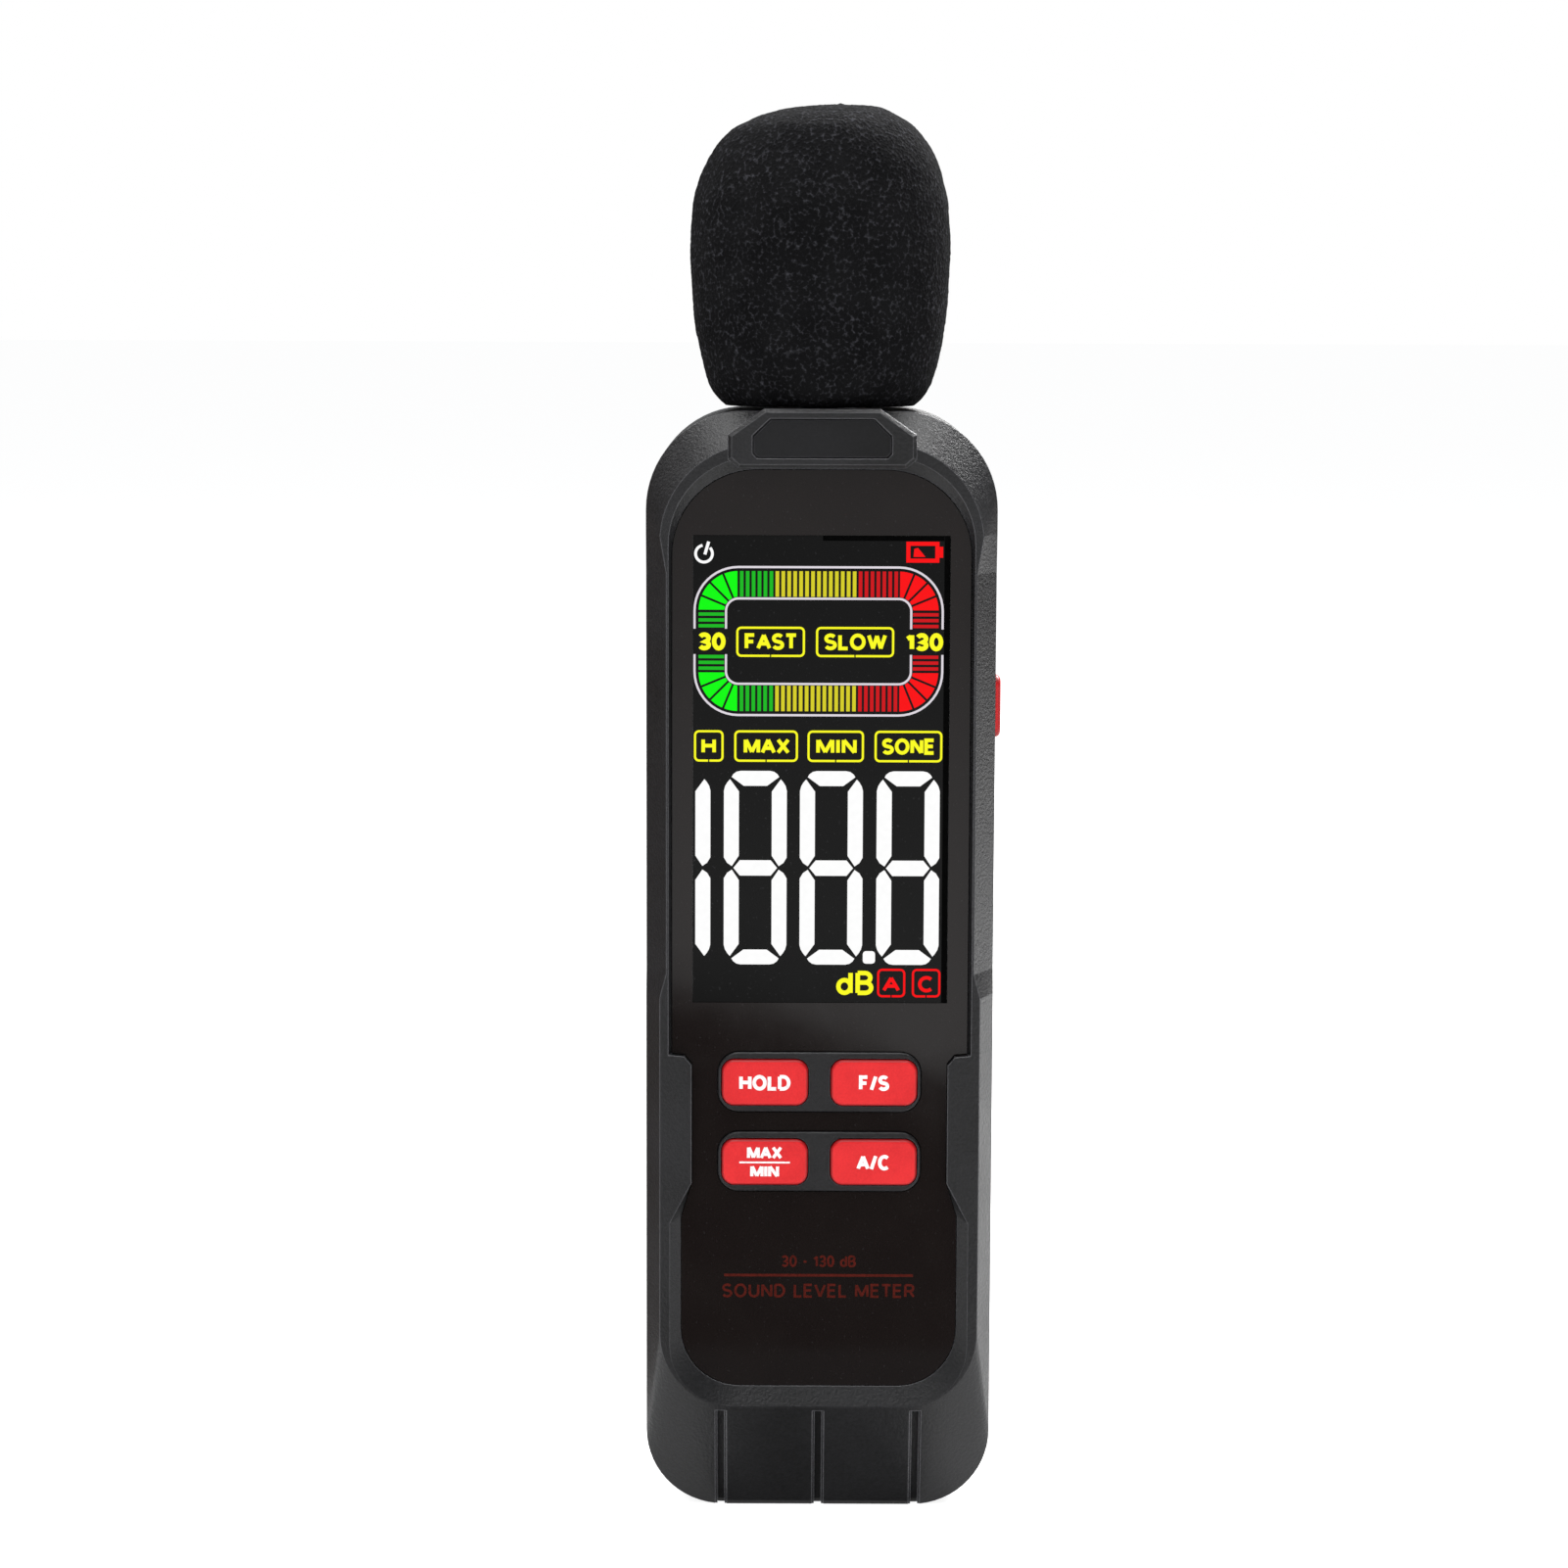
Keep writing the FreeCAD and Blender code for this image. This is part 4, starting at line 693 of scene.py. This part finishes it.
def smooth_profile(points, steps):
    """Points spread evenly along a smooth curve through the given points."""
    curve = bpy.data.curves.new("profile", "CURVE")
    curve.dimensions = "3D"
    curve.resolution_u = 12
    spline = curve.splines.new("BEZIER")
    spline.bezier_points.add(len(points) - 1)
    for target, point in zip(spline.bezier_points, points):
        target.co = point
        target.handle_left_type = target.handle_right_type = "AUTO"
    holder = bpy.data.objects.new("profile", curve)
    mesh = bpy.data.meshes.new_from_object(holder)
    line = [v.co.copy() for v in mesh.vertices]
    bpy.data.meshes.remove(mesh)
    bpy.data.objects.remove(holder)
    bpy.data.curves.remove(curve)
    lengths = [0.0]
    for a, b in zip(line, line[1:]):
        lengths.append(lengths[-1] + (b - a).length)
    even, i = [], 0
    for step in range(steps + 1):
        wanted = lengths[-1] * step / steps
        while i < len(line) - 2 and lengths[i + 1] < wanted:
            i += 1
        share = (wanted - lengths[i]) / max(1e-9, lengths[i + 1] - lengths[i])
        even.append(line[i].lerp(line[i + 1], min(1.0, share)))
    return even


def weathered(point, turn, crest, crown):
    """A point of the foam's outside, moved in or out by broad lumps, dimples and pores."""
    away = Vector((math.cos(turn), math.sin(turn), 0))
    if point.z > crest:
        away = Vector((away.x, away.y, (point.z - crest) / 4)).normalized()
    lump = noise.noise(point * 0.11) * 0.25 + noise.noise(point * 0.5) * 0.07
    pore = noise.noise(point * 2.2) * 0.10
    point += away * (lump + pore - 0.05)
    point.z = min(point.z, crown)
    return point


def foam_ball():
    """A lopsided foam ball with a bore for the microphone tube. Its rings, in millimetres, run
    from the bore's roof down the bore, across the foot and up the outside."""
    segments, rows = 300, 150
    roof_steps, bore_steps, foot_steps = 6, 40, 16
    bore, roof, shoulder = 6.8, 12.0, 8.0   # radius, foam above the bore, depth of the rounded top
    low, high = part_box("windscreen")
    crown = high.z / MM
    profile = smooth_profile([((left + right) / 2, (right - left) / 2, low.z / MM + height)
                              for height, left, right in FOAM_OUTLINE], rows)
    foot = profile[0].z
    bore_top, crest = crown - roof, crown - shoulder
    inside = [(0, bore * i / roof_steps, bore_top) for i in range(1, roof_steps + 1)]
    inside += [(0, bore, bore_top + (foot - bore_top) * i / bore_steps)
               for i in range(1, bore_steps)]
    inside += [(0, bore + (profile[0].y - bore) * i / foot_steps, foot)
               for i in range(foot_steps)]
    rings = [(*ring, False) for ring in inside] + [(*ring, True) for ring in profile]
    mesh = bmesh.new()
    first = mesh.verts.new((0, 0, bore_top * MM))
    loops = []
    for middle, radius, height, outside in rings:
        loop = []
        for step in range(segments):
            turn = 2 * math.pi * step / segments
            point = Vector((middle + radius * math.cos(turn), radius * math.sin(turn), height))
            if outside:
                point = weathered(point, turn, crest, crown)
            loop.append(mesh.verts.new(point * MM))
        loops.append(loop)
    top = profile[-1]
    last = mesh.verts.new(Vector((top.x, 0, crown)) * MM)
    for step in range(segments):
        after = (step + 1) % segments
        for a, b in zip(loops, loops[1:]):
            mesh.faces.new((a[step], a[after], b[after], b[step]))
        mesh.faces.new((first, loops[0][after], loops[0][step]))
        mesh.faces.new((last, loops[-1][step], loops[-1][after]))
    bmesh.ops.recalc_face_normals(mesh, faces=mesh.faces)
    data = bpy.data.meshes.new("foam_ball")
    mesh.to_mesh(data)
    mesh.free()
    data.materials.append(bpy.data.materials["foam"])
    data.polygons.foreach_set("use_smooth", [True] * len(data.polygons))
    ball = bpy.data.objects.new("foam_ball", data)
    bpy.context.scene.collection.objects.link(ball)
    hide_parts("windscreen")
    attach(ball, "windscreen_foam")


# ---------------------------------------------------------------- the studio

def stage_plane(name, corners, material):
    """A flat sheet that isn't part of the object."""
    data = bpy.data.meshes.new(name)
    data.from_pydata([tuple(corner) for corner in corners], [], [range(len(corners))])
    data.materials.append(material)
    plane = bpy.data.objects.new(name, data)
    bpy.context.scene.collection.objects.link(plane)
    return plane


def softbox(name, place, aim, width, height, power):
    """A soft oblong light, in metres and watts, that the camera doesn't see."""
    data = bpy.data.lights.new(name, "AREA")
    data.shape = "RECTANGLE"
    data.size, data.size_y = width, height
    data.energy = power
    light = bpy.data.objects.new(name, data)
    light.location = place
    light.rotation_euler = (Vector(aim) - Vector(place)).to_track_quat("-Z", "Y").to_euler()
    light.visible_camera = False
    bpy.context.scene.collection.objects.link(light)


def flat_paint(name, colour, glow):
    """Paint with no gloss, which also gives off white light of the strength glow."""
    paint = bpy.data.materials.new(name)
    paint.use_nodes = True
    shader = paint.node_tree.nodes["Principled BSDF"]
    shader.inputs["Base Color"].default_value = (*colour, 1)
    shader.inputs["Roughness"].default_value = 1.0
    shader.inputs["Specular IOR Level"].default_value = 0.0
    shader.inputs["Emission Color"].default_value = (1, 1, 1, 1)
    shader.inputs["Emission Strength"].default_value = glow
    return paint


def level(height, *corners):
    """A flat sheet's corners, all at one height."""
    return [(x, y, height) for x, y in corners]


def upright(near, far, height):
    """An upright sheet's corners, from the two ends of its foot."""
    return [(*near, 0.0), (*far, 0.0), (*far, height), (*near, height)]


def studio():
    """A pale floor, a white surround, soft lights overhead, behind on both sides and in front,
    and dim and dark cards that only the case's and the panel's gloss mirrors."""
    reach, floor_height, card_height = 12.0, -5e-5, 5e-4
    floor_paint = flat_paint("floor_paint", (0.42, 0.42, 0.42), 0.88)
    stage_plane("floor", level(floor_height, (-reach, -reach), (reach, -reach), (reach, reach),
                               (-reach, reach)), floor_paint)

    # two cards lie in front of the meter, two stand or lie on its left, and two behind its right
    dark = flat_paint("dark_cloth_paint", (0.05, 0.042, 0.038), 0.004)
    dim = flat_paint("dim_cloth_paint", (0.05, 0.05, 0.05), 0.16)
    cards = {
        "near_cloth": (dim, level(card_height, (-0.014, -0.010), (0.014, -0.010),
                                  (0.030, -0.10), (-0.030, -0.10))),
        "dark_cloth": (dark, level(card_height, (-0.030, -0.10), (0.030, -0.10), (0.046, -0.30),
                                   (0.02, -0.345), (-0.012, -0.42), (-0.052, -0.46))),
        "left_cloth": (dark, level(card_height, (-0.40, 0.02), (-0.02, 0.02), (-0.02, 1.60),
                                   (-0.40, 1.60))),
        "dark_flag": (dark, upright((-0.30, -0.05), (-0.30, 0.90), 0.6)),
        "right_cloth": (dark, level(card_height, (0.02, 0.60), (0.50, 0.60), (0.80, 3.00),
                                    (0.02, 3.00))),
        "right_flag": (dark, upright((0.03, 0.68), (1.20, 0.40), 0.42)),
    }
    for name, (paint, corners) in cards.items():
        card = stage_plane(name, corners, paint)
        card.visible_camera = False
        card.visible_diffuse = False
        card.visible_shadow = False

    # the camera sees the surround as white, and the meter is lit by it more weakly
    world = bpy.data.worlds.new("surround")
    bpy.context.scene.world = world
    world.use_nodes = True
    tree = world.node_tree
    tree.nodes.clear()
    path = tree.nodes.new("ShaderNodeLightPath")
    seen = tree.nodes.new("ShaderNodeBackground")
    seen.inputs["Color"].default_value = (1, 1, 1, 1)
    felt = tree.nodes.new("ShaderNodeBackground")
    felt.inputs["Color"].default_value = (0.96, 0.98, 1, 1)
    felt.inputs["Strength"].default_value = 0.25
    choose = tree.nodes.new("ShaderNodeMixShader")
    output = tree.nodes.new("ShaderNodeOutputWorld")
    tree.links.new(path.outputs["Is Camera Ray"], choose.inputs["Fac"])
    tree.links.new(felt.outputs["Background"], choose.inputs[1])
    tree.links.new(seen.outputs["Background"], choose.inputs[2])
    tree.links.new(choose.outputs["Shader"], output.inputs["Surface"])

    softbox("overhead", (0.05, -0.15, 1.1), (0, 0, 0.1), 1.0, 0.9, 20)
    softbox("behind_above", (0.42, 0.60, 0.80), (0, 0, 0.13), 0.6, 0.4, 26)
    softbox("left_above", (-0.45, 0.35, 0.70), (0, 0, 0.13), 0.5, 0.4, 5)
    softbox("front", (-0.35, -0.9, 0.75), (0, 0, 0.1), 0.5, 0.5, 3)


def camera():
    """The photograph's point of view, in front and a little above. It aims left of the meter,
    which so stands right of the picture's middle."""
    data = bpy.data.cameras.new("camera")
    data.lens = 93.0
    data.sensor_width = 36.0
    data.clip_start, data.clip_end = 0.01, 100.0
    eye = bpy.data.objects.new("camera", data)
    tilt, roll, distance = math.radians(7.0), math.radians(0.2), 0.5705
    aim = Vector((-5.05, 0.0, 101.0)) * MM
    back = Vector((0, -math.cos(tilt), math.sin(tilt)))
    turn = Matrix.Rotation(math.radians(90) - tilt, 4, "X") @ Matrix.Rotation(roll, 4, "Z")
    eye.matrix_world = Matrix.Translation(aim + back * distance) @ turn
    bpy.context.scene.collection.objects.link(eye)
    bpy.context.scene.camera = eye


display()
legends()
panel_print()
foam_ball()
studio()
camera()
bpy.context.scene.view_settings.view_transform = "Standard"
